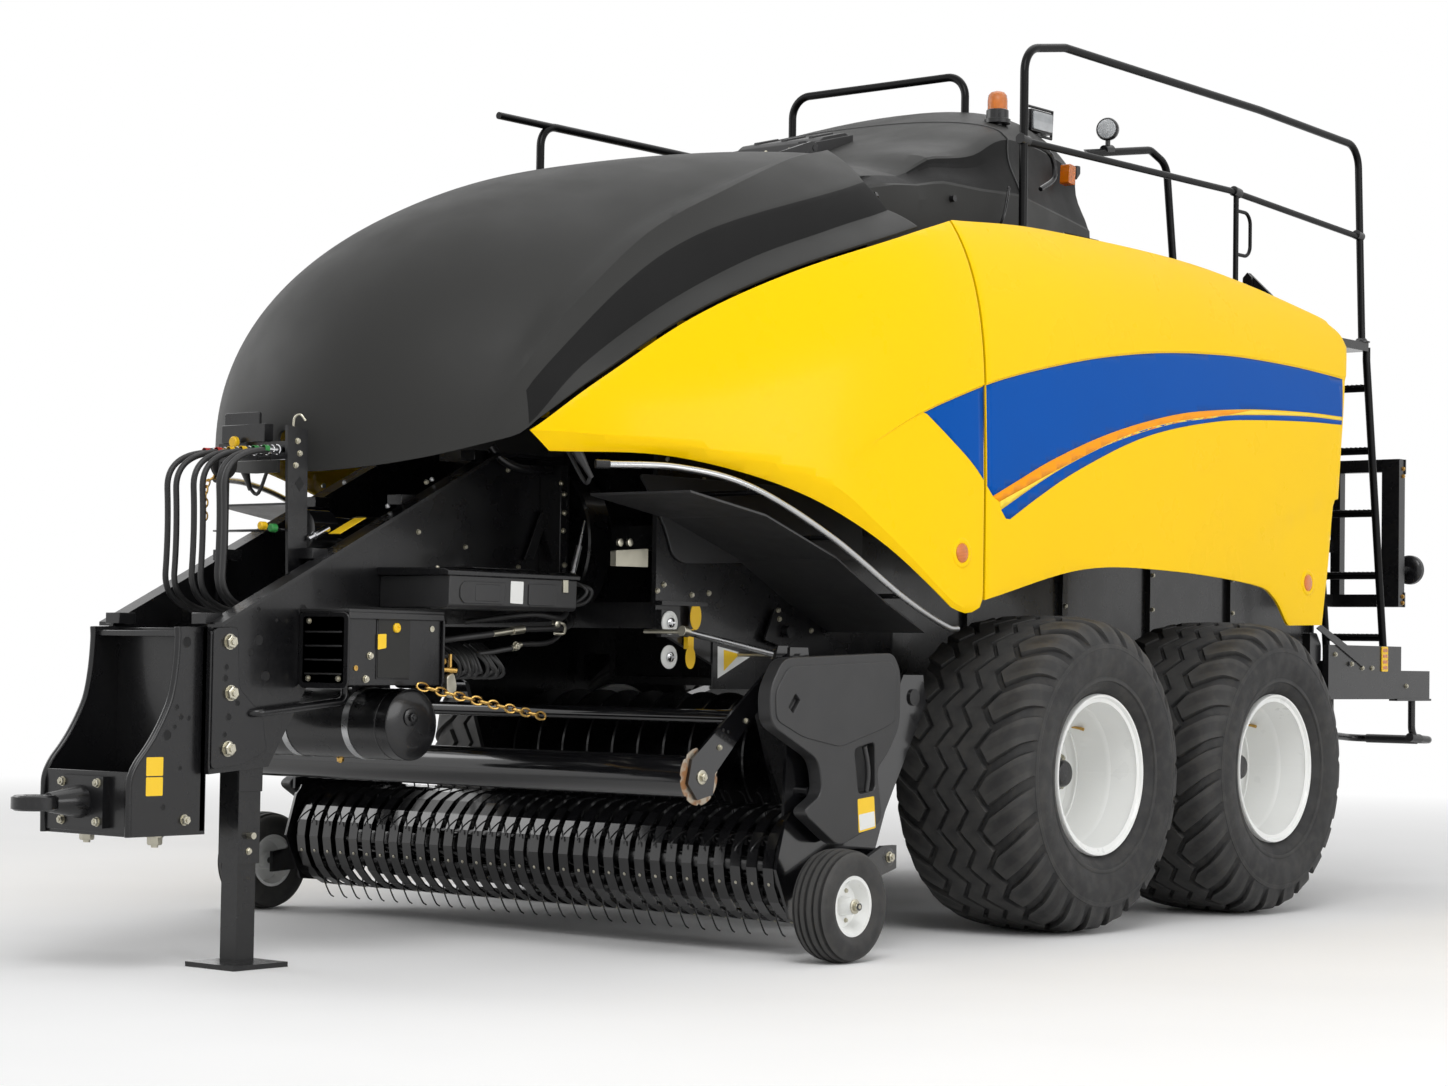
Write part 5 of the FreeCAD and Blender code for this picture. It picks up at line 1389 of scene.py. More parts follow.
def chain_links(name, points, pitch, wire, material, body="chassis"):
    """Oval links, each a quarter turn from the last, along a hanging line."""
    kit = Kit(name, material, body)
    line = curve_through(points, 12)
    lengths = [0.0]
    for a, b in zip(line, line[1:]):
        lengths.append(lengths[-1] + (b - a).length)
    count = int(lengths[-1] / pitch)
    for link in range(count):
        distance = (link + 0.5) * pitch
        k = max(i for i, length in enumerate(lengths) if length <= distance)
        k = min(k, len(line) - 2)
        along = (line[k + 1] - line[k]).normalized()
        centre = line[k] + along * (distance - lengths[k])
        side = along.cross(Vector(Z)).normalized()
        other = side.cross(along)
        across = side if link % 2 else other
        loop = [centre + along * (0.66 * pitch * math.cos(t)) + across * (0.36 * pitch * math.sin(t))
                for t in turns(16)]
        kit.bar(loop, wire, 6, closed=True)
    kit.make(crease=60)


make_drawbar()
make_jack_details()
make_valve_box()
make_tool_box()
make_tank_details()
make_holder_details()
chain_links("pickup_chain", [(0.52, -2.5, 0.905), (0.56, -2.33, 0.868), (0.59, -2.12, 0.828), (0.6, -1.955, 0.8)],
            0.036, 0.004, "brass")


# ---------------------------------------------------------------- under the front shields
CHEEK_X, BRACKET_THICK = 0.72, 0.03


def make_cheek_details():
    """Panels, discs, labels, rods and bolts on the frame's side plates."""
    (Kit("cheek_panels", "moulded")
        .plate([(-1.66, 1.64), (-1.585, 1.56), (-1.51, 1.45), (-1.47, 1.36), (-1.41, 1.338), (-0.366, 1.385),
                (-0.366, 1.64)], 0.03, "x", CHEEK_X + 0.001, CHEEK_X + 0.01)
        .pair(bevel=0.002))
    white = Kit("cheek_discs", "label_white")
    inner = Kit("cheek_disc_latches", "chrome")
    for y, z in ((-1.5, 1.13), (-1.5, 1.011)):
        white.lathe([(0, 0.041), (0.005, 0.041), (0.007, 0.038), (0.007, 0.026), (0.004, 0.024)],
                    (CHEEK_X + 0.02, y, z), X, 40)
        (inner.lathe([(0.003, 0.018), (0.012, 0.018), (0.014, 0.014)], (CHEEK_X + 0.02, y, z), X, 24)
            .box((CHEEK_X + 0.032, y - 0.016, z - 0.004), (CHEEK_X + 0.039, y + 0.016, z + 0.004)))
    white.pair()
    inner.pair(bevel=0.001)
    (Kit("cheek_posts", "frame").box((CHEEK_X, -1.54, 1.08), (CHEEK_X + 0.02, -1.44, 1.175))
        .plate([(-0.918, 1.194), (-0.47, 1.062), (-0.737, 1.026), (-0.974, 1.078)], 0.01, "x", CHEEK_X + 0.02,
               CHEEK_X + 0.03)
        .rod((CHEEK_X, -0.86, 1.11), (CHEEK_X + 0.06, -0.86, 1.11), 0.022, 24)
        .rod((CHEEK_X, -0.76, 1.1), (CHEEK_X + 0.022, -0.76, 1.1), 0.02, 20)
        .box((CHEEK_X, -1.24, 0.9), (CHEEK_X + 0.006, -1.0, 1.08))
        .box((CHEEK_X, -1.55, 1.19), (CHEEK_X + 0.03, -1.3, 1.206)).pair(bevel=0.002))
    tags = Kit("cheek_tags", "cap_yellow")
    for y, z, high, wide in ((-1.362, 1.155, 0.048, 0.03), (-1.388, 1.01, 0.04, 0.026)):
        oval = [(y + wide * math.cos(t), z + high * math.sin(t)) for t in turns(32)]
        tags.prism(oval, "x", CHEEK_X + 0.024, CHEEK_X + 0.027)
    tags.box((CHEEK_X + 0.004, -1.4, 1.04), (CHEEK_X + 0.024, -1.368, 1.11)).pair(bevel=0.0008)
    (Kit("cheek_labels", "label_white")
        .prism([(-1.214, 1.052), (-1.02, 1.02), (-1.212, 0.938)], "x", CHEEK_X + 0.006, CHEEK_X + 0.0066).pair())
    (Kit("cheek_label_fields", "label_yellow")
        .prism([(-1.18, 1.04), (-1.09, 1.025), (-1.178, 0.965)], "x", CHEEK_X + 0.006, CHEEK_X + 0.007).pair())
    Kit("cheek_rods", "steel").bar([(0.9, -1.604, 1.098), (0.9, -1.094, 1.024)], 0.012, 16).pair(bevel=0.001)
    (Kit("cheek_rod_ends", "zinc").rod((0.9, -1.622, 1.101), (0.9, -1.59, 1.0965), 0.018, 20)
        .rod((0.9, -1.11, 1.026), (0.9, -1.08, 1.023), 0.018, 20)
        .rod((CHEEK_X, -1.606, 1.098), (0.912, -1.606, 1.098), 0.008, 14)
        .rod((CHEEK_X, -1.096, 1.024), (0.912, -1.096, 1.024), 0.008, 14).pair(bevel=0.001))
    zinc = (Kit("cheek_hardware", "zinc")
        .plate([(-1.768, 1.318), (-1.6, 1.32), (-1.6, 1.383), (-1.768, 1.371)], 0.004, "x", CHEEK_X - 0.02,
               CHEEK_X + 0.005))
    for y, z in ((-1.74, 1.4), (-1.69, 1.402)):
        zinc.lathe([(0, 0.014), (0.01, 0.014), (0.012, 0.008)], (CHEEK_X - 0.008, y, z), X, 20)
    for y, z in ((-1.543, 1.24), (-1.509, 1.262), (-1.356, 1.23), (-1.262, 1.239), (-0.901, 1.187), (-0.894, 1.155),
                 (-0.703, 1.116)):
        zinc.hex((CHEEK_X + (BRACKET_THICK if y > -1 else 0.0), y, z), X, 0.009, 0.008)
    zinc.hexes(((-1.5, 1.7), (-1.48, 1.56), (-1.3, 1.64), (-1.2, 1.42)), CHEEK_X, 0.008, 0.007).pair()


def make_linkage():
    """The bent bar, strap, strut and pipes on the drawbar under the hood's edge."""
    black = Kit("drawbar_linkage", "frame")
    bent = curve_through([(0.262, -1.905, 1.735), (0.285, -1.875, 1.69), (0.3, -1.8, 1.664), (0.31, -1.655, 1.668)], 6)
    black.bar(bent, 0.016, 12)
    strap = [(-1.56, 1.528), (-1.615, 1.5), (-1.69, 1.345), (-1.735, 1.345), (-1.655, 1.515), (-1.59, 1.556)]
    black.plate(strap, 0.006, "x", 0.262, 0.27).box((0.25, -1.64, 1.3), (0.35, -1.605, 1.68)).make(bevel=0.002)
    (Kit("drawbar_strut", "steel").rod((0.366, -1.53, 1.49), (0.366, -1.556, 1.4), 0.006, 12)
        .rod((0.366, -1.556, 1.4), (0.366, -1.59, 1.3), 0.011, 16).make(bevel=0.001))
    (Kit("drawbar_linkage_bolts", "zinc")
        .hexes(((-1.64, 1.618), (-1.622, 1.579), (-1.62, 1.514), (-1.625, 1.45), (-1.615, 1.33)), 0.35, 0.009, 0.008)
        .hex((0.27, -1.6, 1.52), X, 0.008, 0.007).make())
    (Kit("pipe_fittings", "zinc").rod((0.45, -2.08, 1.08), (0.45, -1.985, 1.092), 0.011, 16)
        .rod((0.45, -1.985, 1.092), (0.45, -1.93, 1.098), 0.015, 16).hex((0.44, -1.955, 1.04), X, 0.014, 0.014)
        .rod((0.44, -1.975, 1.032), (0.44, -1.93, 1.046), 0.01, 14)
        .lathe([(0, 0.014), (0.016, 0.014), (0.018, 0.01)], (0.45, -1.77, 1.12), X, 20)
        .wire([(0.45, -1.78, 1.128), (0.462, -1.735, 1.118), (0.45, -1.722, 1.088), (0.44, -1.76, 1.086)], 5, 0.006,
              8)
        .make(bevel=0.0008))
    pipes = (Kit("drawbar_pipes", "hose")
        .wire([(0.3, -2.33, 1.04), (0.4, -2.23, 1.06), (0.45, -2.08, 1.08)], 6, 0.011, 12)
        .wire([(0.45, -1.93, 1.098), (0.44, -1.7, 1.11), (0.35, -1.585, 1.15)], 6, 0.011, 12)
        .wire([(0.3, -2.33, 1.0), (0.38, -2.1, 1.01), (0.44, -1.975, 1.032)], 6, 0.009, 12)
        .wire([(0.44, -1.93, 1.046), (0.42, -1.75, 1.06), (0.35, -1.585, 1.14)], 6, 0.009, 12)
        .wire([(0.3, -2.06, 1.12), (0.46, -1.9, 1.15), (0.47, -1.76, 1.14), (0.35, -1.585, 1.19)], 6, 0.01, 12))
    for k in range(11):
        turn = 0.55 * k
        y = -2.225 + 0.022 * k + 0.008 * math.sin(turn * 2)
        pipes.wire([(0.33, y, 1.045), (0.395, y + 0.012 * math.sin(turn), 1.01),
                    (0.415, y + 0.022, 0.975 - 0.01 * (k % 3)), (0.395, y + 0.04, 0.938 + 0.012 * (k % 2)),
                    (0.33, y + 0.045, 0.93)], 5, 0.0065, 8)
    pipes.make()


def make_latches():
    for side, sign in SIDES:
        handle = Kit(f"shield_front_{side}_handle", "moulded", f"shield_front_{side}")
        low, high = Vector((sign * 0.83, -2.05, 1.64)), Vector((sign * 0.8, -2.128, 1.768))
        along = (high - low).normalized()
        (handle
            .lathe([(-0.045, 0.008), (0.0, 0.012), (0.03, 0.017), (0.1, 0.021), (0.142, 0.021), (0.152, 0.017),
                    (0.156, 0.008)], low, along, 24)
            .wire([low - along * 0.04, low - along * 0.06 + Vector((-sign * 0.04, 0, 0)),
                   low + Vector((-sign * 0.1, 0.02, 0.06))], 5, 0.007, 10)
            .make())


make_cheek_details()
make_linkage()
make_latches()


# ---------------------------------------------------------------- cover over the knotters
COVER_TOP = [(-0.6, 2.8), (-0.25, 2.93), (0.1, 3.065), (0.53, 3.235), (0.86, 3.335), (1.1, 3.352), (1.3, 3.312),
             (1.47, 3.225)]
COVER_HIGH = [(-0.62, 2.79), (-0.22, 2.925), (0.2, 3.0), (0.5, 3.112), (1.15, 3.15), (1.47, 3.105)]
COVER_LOW = [(-0.67, 2.735), (-0.19, 2.838), (0.2, 2.845), (0.45, 2.862), (1.15, 2.872), (1.47, 2.86)]
COVER_HALF = [(-0.6, 0.896), (0.3, 0.88), (0.5, 0.862), (1.15, 0.655), (1.47, 0.58)]
COVER_FRONT = [(-0.69, 2.76), (-0.628, 2.7), (-0.584, 2.6), (-0.58, 2.47), (0.0, 2.47)]
COVER_GAP = 0.036
COVER_BASE, COVER_REAR = 2.47, 1.468


def tucked(x, y, z, hold):
    """Keeps a point of the cover under the hood's skin."""
    half, rise, power = shell_section(y)
    high = max(z - SHELL_BASE, 0.0)
    reach = (x / (half - COVER_GAP)) ** power + (high / (rise - COVER_GAP)) ** power
    if reach <= 1.0:
        return x, z
    part = 1.0 + (reach ** (-1.0 / power) - 1.0) * hold
    return x * part, z - high + high * part


def cover_section(y):
    """Half of the cover's outline at a station, from its foot up the creased side to the crown."""
    half, top = level_at(COVER_HALF, y), level_at(side_curve(COVER_TOP), y)
    high, low = level_at(side_curve(COVER_HIGH), y), level_at(COVER_LOW, y)
    line = [(half, COVER_BASE + (low - COVER_BASE) * k / 5) for k in range(5)]
    line += [(half - 0.004, low), (half - 0.012, low + 0.012)]
    line += [(half - 0.012 - 0.062 * smooth(0, 1, k / 6) - 0.02 * math.sin(math.pi * k / 6),
              low + 0.012 + (high - low - 0.024) * k / 6) for k in range(1, 6)]
    line += [(half - 0.078, high - 0.01), (half - 0.086, high)]
    width = half - 0.094
    for k in range(1, 17):
        turn = math.pi / 2 * k / 16
        line.append((width * math.cos(turn) ** 0.86, high + (top - high) * math.sin(turn) ** 1.05))
    hold = 1.0 - smooth(-0.25, -0.05, y)
    if hold > 0:
        foot = level_at(COVER_FRONT, y)
        line = [(x, max(z, foot)) for x, z in line]
        line = [tucked(x, y, z, hold) for x, z in line]
    return line


COVER_SHADE_COLUMNS = range(6, 12)


def make_cover():
    """The knotter cover as one skin, with a band along each side painted darker as shade, and its small fittings."""
    stations = [-0.69 + 0.11 * k / 8 for k in range(8)] + [-0.58 + 0.344 * k / 12 for k in range(12)] + [-0.236]
    stations += [-0.236 + 0.731 * k / 14 for k in range(1, 14)]
    stations += [0.494, 0.506] + [0.506 + 0.93 * k / 18 for k in range(1, 19)] + [1.452, 1.462, COVER_REAR]
    rows = []
    for y in stations:
        line = cover_section(y)
        pull = 0.03 * smooth(1.436, COVER_REAR, y) ** 2
        line = [(max(x - pull, 0.0), z - pull * smooth(COVER_BASE, 3.0, z)) for x, z in line]
        rows.append([(x, y, z) for x, z in line] + [(-x, y, z) for x, z in reversed(line[:-1])])
    wide = len(rows[0])
    verts = [point for row in rows for point in row]
    faces = [(r * wide + c, r * wide + c + 1, (r + 1) * wide + c + 1, (r + 1) * wide + c)
             for r in range(len(rows) - 1) for c in range(wide - 1)]
    last = (len(rows) - 1) * wide
    faces += [(last + c, last + c + 1, last + wide - 2 - c, last + wide - 1 - c) for c in range(wide // 2 - 1)]
    faces.append((last + wide // 2 - 1, last + wide // 2, last + wide // 2 + 1))
    data = bpy.data.meshes.new("cover")
    data.from_pydata(verts, [], faces)
    # the channel's faces take the darker material: painted shade
    for index, face in enumerate(data.polygons[:(len(rows) - 1) * (wide - 1)]):
        column = index % (wide - 1)
        face.material_index = int(min(column, wide - 2 - column) in COVER_SHADE_COLUMNS)
    turned(data, merge=2e-4, upright=True)
    cover = add_piece("cover_skin", data, "charcoal", "chassis", thickness=0.012, crease=15)
    # second material: the darker moulding that paints the channel's shade
    cover.data.materials.append(M["painted_band_shade"])
    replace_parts(cover, "knotter_cover")
    x = level_at(COVER_HALF, 1.2)
    (Kit("cover_reflectors", "amber")
        .plate([(1.165, 3.03), (1.215, 3.024), (1.222, 3.105), (1.172, 3.112)], 0.008, "x", x - 0.04, x + 0.006)
        .pair(bevel=0.0015))
    (Kit("cover_hooks", "frame")
        .plate([(1.232, 3.05), (1.262, 3.08), (1.262, 3.112), (1.232, 3.112)], 0.006, "x", x - 0.06, x + 0.002)
        .box((0.846, -0.04, 2.772), (0.888, -0.028, 2.8))
        .rod((0.88, -0.034, 2.786), (0.905, -0.034, 2.786), 0.013, 16)
        .wire([(0.872, 0.3, 2.7), (0.905, 0.3, 2.76), (0.905, 0.33, 2.86), (0.9, 0.34, 2.88)], 5, 0.006, 8)
        .pair(bevel=0.001))
    seams = Kit("cover_seam_strip", "moulded")
    strip = [Vector((px, 0.5, pz)) for px, pz in cover_section(0.5)]
    (seams
        .bar([p + Vector((0.001, 0, 0.001)) for p in strip] + [Vector((-p.x - 0.001, p.y, p.z + 0.001))
            for p in reversed(strip[:-1])], 0.0035, 6)
        .make())


# ---------------------------------------------------------------- roof lamps, rails, ladder
def make_lamps():
    """Beacon, work lights and rear lamps, with their lenses."""
    base = (Kit("lamp_bodies", "frame")
        .lathe([(0, 0.02), (0.12, 0.02), (0.122, 0.054), (0.14, 0.054), (0.142, 0.046), (0.176, 0.046),
                (0.18, 0.042)], (0.62, 0.67, 3.085), Z, 40)
        .rod((0.5, 1.15, 3.06), (0.5, 1.15, 3.25), 0.014, 16).box((0.478, 1.075, 3.252), (0.52, 1.235, 3.344))
        .bar([(0.505, 1.062, 3.24), (0.505, 1.248, 3.24), (0.505, 1.256, 3.356), (0.505, 1.056, 3.356)], 0.007, 10,
             closed=True)
        .rod((0.6, 1.55, 3.205), (0.6, 1.55, 3.275), 0.011, 14)
        .rod((0.598, 1.52, 3.222), (0.598, 1.58, 3.232), 0.022, 18)
        .lathe([(-0.03, 0.02), (-0.026, 0.036), (-0.01, 0.048), (0.012, 0.05), (0.02, 0.046)], (0.6, 1.55, 3.316),
               (0.25, -1, 0), 36))
    for sign in (1, -1):
        (base.rod((sign * 0.98, 3.585, 1.48), (sign * 0.98, 3.66, 1.48), 0.018, 18)
            .lathe([(0, 0.03), (0.004, 0.06), (0.012, 0.069), (0.036, 0.07), (0.04, 0.066)],
                   (sign * 0.98, 3.65, 1.48), Y, 48))
    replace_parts(base.make(bevel=0.001), "lamps")
    (Kit("beacon_lens", "amber")
        .lathe([(0, 0.041), (0.04, 0.041), (0.062, 0.038), (0.074, 0.028), (0.079, 0.012)], (0.62, 0.67, 3.262), Z,
               40)
        .make())
    (Kit("work_light_lens", "clear").plate(rect(1.083, 3.26, 1.227, 3.336), 0.008, "x", 0.519, 0.527)
        .lathe([(0.016, 0.044), (0.022, 0.04), (0.026, 0.02)], (0.6, 1.55, 3.316), (0.25, -1, 0), 36)
        .make(bevel=0.001))
    red = Kit("rear_lamp_lenses", "red")
    for sign in (1, -1):
        red.lathe([(0, 0.064), (0.006, 0.062), (0.01, 0.05), (0.0115, 0.02)], (sign * 0.98, 3.688, 1.48), Y, 48)
    red.make()


def make_rail_details():
    """Clamps on the rails, the ladder's treads and fittings, and the deck's grip."""
    clamps = Kit("rail_clamps", "frame")
    for y, z in ((2.0, 3.07), (3.14, 3.016), (0.33, 3.058)):
        clamps.rod((0.975, y - 0.026, z + 0.003), (0.975, y + 0.026, z - 0.003), 0.022, 20)
    for y in (2.0, 3.176):
        for x in (0.975, -0.975):
            clamps.lathe([(0, 0.04), (0.006, 0.04), (0.008, 0.03), (0.02, 0.022)], (x, y, 2.52), Z, 24)
    (clamps
        .wire([(0.958, 0.335, 3.052), (0.93, 0.52, 3.06), (0.905, 0.64, 3.04), (0.905, 0.66, 2.96),
               (0.905, 0.56, 2.9)], 6, 0.01, 10)
        .make(bevel=0.001))
    treads = Kit("ladder_treads", "frame")
    for z in (1.15, 1.44, 1.73, 2.02, 2.31):
        y = 3.219 + 0.201 * (2.44 - z) / 1.44
        treads.box((0.7, y - 0.02, z + 0.008), (0.965, y + 0.02, z + 0.019))
        for k in range(11):
            x = 0.712 + 0.0235 * k
            treads.box((x, y - 0.017, z + 0.019), (x + 0.006, y + 0.017, z + 0.0215))
    for x in (0.685, 0.98):
        treads.lathe([(0, 0.024), (0.016, 0.024), (0.018, 0.02)], (x, 3.42, 1.0), (0, -0.139, 0.99), 20)
    treads.make(bevel=0.001)
    brass = Kit("ladder_fittings", "brass")
    down = Vector((0, 0.139, -0.99))
    spot = Vector((0.685, 3.352, 1.485))
    (brass
        .lathe([(0, 0.0195), (0.006, 0.024), (0.02, 0.024), (0.022, 0.02), (0.042, 0.02), (0.044, 0.024),
                (0.06, 0.024), (0.064, 0.0195)], spot, down, 24)
        .hex(spot + Vector((0.02, 0, -0.02)), X, 0.008, 0.008).make())
    deck = Kit("deck_grip", "frame")
    for row in range(11):
        for column in range(9):
            x, y = -0.9 + 0.18 * row, 1.66 + 0.18 * column
            deck.prism(rounded_outline([(x - 0.05, y - 0.007), (x + 0.05, y - 0.007), (x + 0.05, y + 0.007),
                                        (x - 0.05, y + 0.007)], 0.006, 2), "z", 2.52, 2.523)
    deck.make()


# ---------------------------------------------------------------- rear frame, bumper and chute
def make_rear_details():
    """Plates, bolts, reflectors and sleeves about the bumper and the rear frame."""
    plates = Kit("bumper_details", "frame")
    brace = [(2.33, 1.18), (2.372, 1.196), (2.792, 1.046), (2.776, 1.008)]
    plates.plate(brace, 0.008, "x", 1.2, 1.207).box((1.165, 3.1, 0.862), (1.207, 3.445, 0.872))
    for z in (1.3, 1.93):
        plates.box((0.905, 3.572, z), (1.005, 3.582, z + 0.07))
    (plates.plate([(2.34, 0.99), (2.44, 1.04), (2.44, 1.11), (2.4, 1.16), (2.34, 1.16)], 0.01, "x", 1.13, 1.168)
        .pair(bevel=0.0015))
    bolts = Kit("bumper_bolts", "zinc")
    for x, y, z in ((1.2, 2.51, 1.068), (1.207, 2.651, 1.027), (1.2, 2.765, 1.01), (1.2, 2.86, 1.01), (1.2, 3.2, 0.93)):
        bolts.hex((x, y, z), X, 0.01, 0.009)
    bolts.pair()
    brass = Kit("rear_frame_bolts", "brass")
    for z in (1.32, 1.35, 1.92, 1.955):
        brass.hex((1.0, 3.56, z), X, 0.009, 0.008).hex((0.94, 3.582, z), Y, 0.009, 0.008)
    brass.pair()
    (Kit("bumper_reflectors", "cap_yellow").plate(rect(2.95, 0.995, 3.008, 1.108), 0.006, "x", 1.2, 1.206)
        .pair(bevel=0.001))
    ribs = Kit("bumper_reflector_ribs", "amber")
    for k in range(4):
        ribs.box((1.206, 2.958, 1.006 + 0.026 * k), (1.2072, 3.0, 1.02 + 0.026 * k))
    ribs.pair()
    (Kit("rear_step_sleeves", "moulded").rod((1.12, 3.4, 0.6915), (1.12, 3.5, 0.6845), 0.0205, 24)
        .rod((0.78, 3.64, 0.675), (1.04, 3.64, 0.675), 0.0205, 24).pair(bevel=0.001))
    caps = Kit("chute_roller_ends", "zinc", "chute")
    for height in (0.17, 0.32, 0.47, 0.62):
        caps.hex((0.56, 3.425, 0.96 + height), X, 0.012, 0.009)
    caps.pair()


def make_reflectors():
    """Round side reflectors in a shallow ring on each shield."""
    for end, y, z in (("front", -0.512, 1.403), ("rear", 2.087, 1.371)):
        for side, sign in SIDES:
            flip = Vector((sign, 1, 1))
            centre, out = on_skin(y, z) * flip, skin_normal(y, z) * flip
            (Kit(f"reflector_{end}_{side}_ring", "yellow", f"shield_{end}_{side}")
                .ring([(-0.002, 0.036), (0.0022, 0.037), (0.0046, 0.046), (0.004, 0.052), (-0.002, 0.058)], centre,
                      out, 48)
                .make(crease=50))
            (Kit(f"reflector_{end}_{side}_lens", "amber", f"shield_{end}_{side}")
                .lathe([(-0.001, 0.0345), (0.003, 0.0345), (0.0055, 0.028), (0.0065, 0.012)], centre, out, 36).make())


def make_shield_edges():
    """A black rubber strip along the seam behind each front shield."""
    for side, sign in SIDES:
        strip = Kit(f"shield_seam_strip_{side}", "hose", f"shield_front_{side}")
        line = []
        for k in range(40):
            z = 1.29 + (2.615 - 1.29) * k / 39
            point = on_skin(SEAM_Y - SEAM_HALF, z, -0.006)
            line.append(Vector((sign * point[0], SEAM_Y - SEAM_HALF + 0.0005, point[2])))
        strip.bar(line, 0.0035, 8).make()


def make_driveline_details():
    (Kit("drive_shaft_details", "frame", "driveline")
        .lathe([(0, 0.054), (0.02, 0.058), (0.3, 0.058), (0.32, 0.062), (0.34, 0.062), (0.36, 0.054)],
               (0, -2.3, 1.42), Y, 32)
        .make(bevel=0.001))
    rims = Kit("flywheel_rims", "frame", "driveline")
    for y, sign in ((-1.44, -1), (-1.33, 1)):
        rims.ring([(0, 0.27), (sign * 0.008, 0.276), (sign * 0.008, 0.312), (0, 0.318)], (0, y, 1.42), Y, 64)
    rims.make()
    bolts = Kit("flywheel_bolts", "zinc", "driveline")
    for k in range(8):
        turn = 2 * math.pi * k / 8
        bolts.hex((0.14 * math.cos(turn), -1.44, 1.42 + 0.14 * math.sin(turn)), FORE, 0.013, 0.012)
    bolts.make()


def make_chamber_details():
    """Flanges and bolt rows on the bale chamber, seen between the wheels and from behind."""
    flanges = Kit("chamber_flanges", "frame")
    for y in (0.45, 1.15, 1.85, 2.55):
        flanges.box((0.63, y, 0.9), (0.652, y + 0.04, 1.472))
    flanges.box((0.6, 3.338, 0.9), (0.648, 3.352, 1.66)).pair(bevel=0.0015)
    bolts = Kit("chamber_bolts", "zinc")
    for y in (0.47, 1.17, 1.87, 2.57):
        for z in (0.95, 1.1, 1.25, 1.4):
            bolts.hex((0.652, y, z), X, 0.009, 0.008)
    bolts.pair()


HITCH_FRONT = [(-3.43, 0.43), (-3.432, 0.56), (-3.428, 0.61), (-3.405, 0.655), (-3.368, 0.698), (-3.335, 0.742),
               (-3.3, 0.8), (-3.272, 0.862), (-3.255, 0.95), (-3.248, 1.04), (-3.25, 1.082)]


def make_hitch_bracket():
    """Two cheeks with a hollowed front edge, a floor, a roof and the plate that the tow eye bolts to."""
    curve = side_curve(HITCH_FRONT, 5)
    plates = Kit("hitch_bracket_plates", "frame").prism(curve + [(-3.13, 1.085), (-3.13, 0.43)], "x", 0.195, 0.215)
    lip = [Vector((0.205, y, z)) for y, z in curve]
    (plates.bar(lip, 0.0115, 10).mirror().box((-0.195, -3.425, 0.43), (0.195, -3.13, 0.454))
        .box((-0.195, -3.24, 1.052), (0.195, -3.13, 1.07)).box((-0.215, -3.154, 0.44), (0.215, -3.132, 1.08))
        .box((-0.195, -3.43, 0.44), (0.195, -3.406, 0.63)))
    for x in (-0.085, 0.078):
        plates.prism([(-3.406, 0.45), (-3.406, 0.61), (-3.25, 0.47), (-3.25, 0.45)], "x", x, x + 0.01)
    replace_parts(plates.make(bevel=0.0015, crease=40), "hitch_bracket")


def make_guard_rails():
    """Bright tube along each wheel arch, one smooth sweep, with its stays."""
    line = [(0.94, -2.1, 1.64), (1.06, -1.84, 1.64), (1.14, -1.56, 1.59), (1.19, -1.18, 1.44), (1.215, -0.78, 1.24),
            (1.22, -0.52, 1.14), (1.22, -0.44, 1.13)]
    tubes = Kit("guard_rail_tubes", "steel").wire(line, 14, 0.0115, 18).mirror()
    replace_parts(tubes.make(), "guard_rails")
    stays = Kit("guard_rail_stays", "frame")
    for x, y, z in ((1.14, -1.5, 1.573), (1.19, -1.16, 1.433), (1.213, -0.78, 1.24)):
        (stays.rod((CHEEK_X + 0.002, y, z), (x, y, z), 0.009, 16)
            .lathe([(0, 0.024), (0.004, 0.024), (0.006, 0.016), (0.02, 0.01)], (CHEEK_X + 0.002, y, z), X, 20))
    stays.rod((0.93, -2.112, 1.64), (0.955, -2.07, 1.64), 0.015, 16).pair(bevel=0.001)


def make_hinge_cover():
    """Folded sheet over the hood's hinges, ahead of the knotter cover."""
    cover = (Kit("hood_hinge_cover", "moulded")
        .plate([(0.01, 3.02), (0.01, 3.082), (0.04, 3.104), (0.185, 3.142), (0.215, 3.13), (0.215, 3.08)], 0.01, "x",
               -0.21, 0.21))
    for x in (-0.14, 0.0, 0.14):
        cover.prism([(0.045, 3.1), (0.045, 3.114), (0.18, 3.149), (0.18, 3.138)], "x", x - 0.012, x + 0.012)
    for x in (-0.216, 0.21):
        cover.prism([(-0.02, 3.02), (-0.02, 3.074), (0.23, 3.14), (0.23, 3.07)], "x", x, x + 0.006)
    cover.make(bevel=0.003, segments=3)
    bolts = Kit("hood_hinge_cover_bolts", "zinc")
    for x in (-0.17, -0.06, 0.06, 0.17):
        bolts.hex((x, 0.01, 3.062), FORE, 0.007, 0.006)
    bolts.make()


make_cover()
make_hitch_bracket()
make_guard_rails()
make_hinge_cover()
make_lamps()
make_rail_details()
make_rear_details()
make_reflectors()
make_shield_edges()
make_driveline_details()
make_chamber_details()


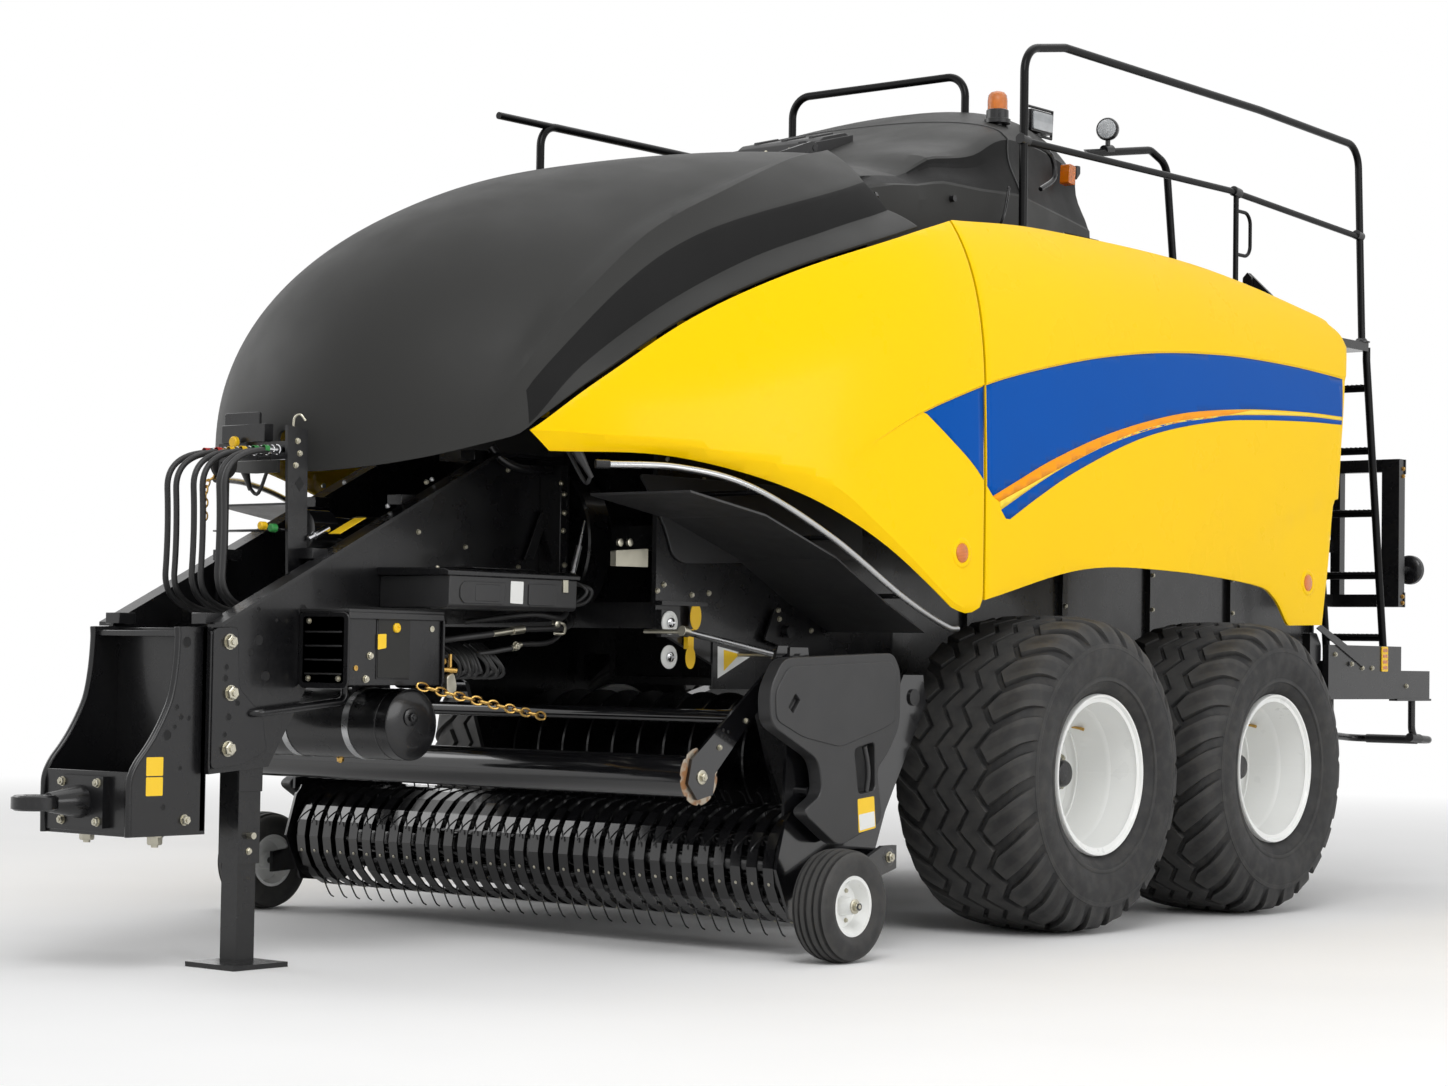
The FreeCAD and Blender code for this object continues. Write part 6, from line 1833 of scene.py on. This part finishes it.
# ---------------------------------------------------------------- floor, lights and world
def make_stage():
    data = bpy.data.meshes.new("floor")
    size = 60.0
    data.from_pydata([(-size, -size, 0), (size, -size, 0), (size, size, 0), (-size, size, 0)], [], [(0, 1, 2, 3)])
    floor = linked("floor", data)
    shade = Shader("floor_pale", specular=0.2)
    cloud = shade.remap(shade.noise(0.6, 3.0), 0.3, 0.7, 0.0, 1.0)
    shade.colour(shade.mix(cloud, (0.93, 0.93, 0.93, 1.0), (0.96, 0.96, 0.96, 1.0)))
    shade.rough(shade.remap(shade.noise(2.0, 3.0), 0.3, 0.7, 0.7, 0.85))
    # far from the object the floor fades into the white background
    away = shade.add("ShaderNodeVectorMath", operation="LENGTH")
    shade.link(shade.place, away.inputs[0])
    fade = shade.remap(away.outputs["Value"], 5.0, 13.0, 0.0, 1.0)
    rays = shade.add("ShaderNodeLightPath").outputs
    seen = shade.math("MAXIMUM", rays["Is Camera Ray"], rays["Is Glossy Ray"])
    seen = shade.math("MAXIMUM", seen, rays["Is Transmission Ray"])
    white = shade.add("ShaderNodeEmission")
    mixer = shade.add("ShaderNodeMixShader")
    shade.link(shade.math("MULTIPLY", fade, seen), mixer.inputs[0])
    shade.link(shade.bsdf.outputs["BSDF"], mixer.inputs[1])
    shade.link(white.outputs["Emission"], mixer.inputs[2])
    shade.link(mixer.outputs["Shader"], shade.out.inputs["Surface"])
    data.materials.append(shade.material)


def make_light(name, at, target, size, power):
    data = bpy.data.lights.new(name, "AREA")
    data.shape = "RECTANGLE"
    data.size, data.size_y = size
    data.energy = power
    light = linked(name, data)
    light.location = at
    light.rotation_euler = (Vector(target) - Vector(at)).to_track_quat("-Z", "Y").to_euler()


def make_world():
    world = bpy.data.worlds.new("studio")
    bpy.context.scene.world = world
    world.use_nodes = True
    tree = world.node_tree
    tree.nodes.clear()
    out = tree.nodes.new("ShaderNodeOutputWorld")
    soft, white = tree.nodes.new("ShaderNodeBackground"), tree.nodes.new("ShaderNodeBackground")
    soft.inputs["Strength"].default_value = 0.48
    white.inputs["Strength"].default_value = 1.0
    for back in (soft, white):
        back.inputs["Color"].default_value = (1.0, 1.0, 1.0, 1.0)
    rays = tree.nodes.new("ShaderNodeLightPath").outputs
    first, second = tree.nodes.new("ShaderNodeMath"), tree.nodes.new("ShaderNodeMath")
    for node, a, b in ((first, rays["Is Camera Ray"], rays["Is Glossy Ray"]),
                       (second, first.outputs[0], rays["Is Transmission Ray"])):
        node.operation = "MAXIMUM"
        tree.links.new(a, node.inputs[0])
        tree.links.new(b, node.inputs[1])
    mixer = tree.nodes.new("ShaderNodeMixShader")
    tree.links.new(second.outputs[0], mixer.inputs[0])
    tree.links.new(soft.outputs[0], mixer.inputs[1])
    tree.links.new(white.outputs[0], mixer.inputs[2])
    tree.links.new(mixer.outputs[0], out.inputs["Surface"])


make_stage()
make_light("key", (5.5, -6.0, 8.5), (0.3, -0.4, 1.2), (5.0, 5.0), 390.0)
make_light("fill", (-7.5, -4.0, 5.0), (0.0, -0.5, 1.2), (5.0, 4.0), 150.0)
make_light("top", (0.0, 3.0, 9.5), (0.0, 0.5, 1.5), (7.0, 7.0), 165.0)
make_light("side", (10.0, 0.5, 3.2), (1.2, 0.4, 1.1), (7.0, 3.0), 220.0)
make_world()
bpy.context.scene.view_settings.view_transform = "Standard"
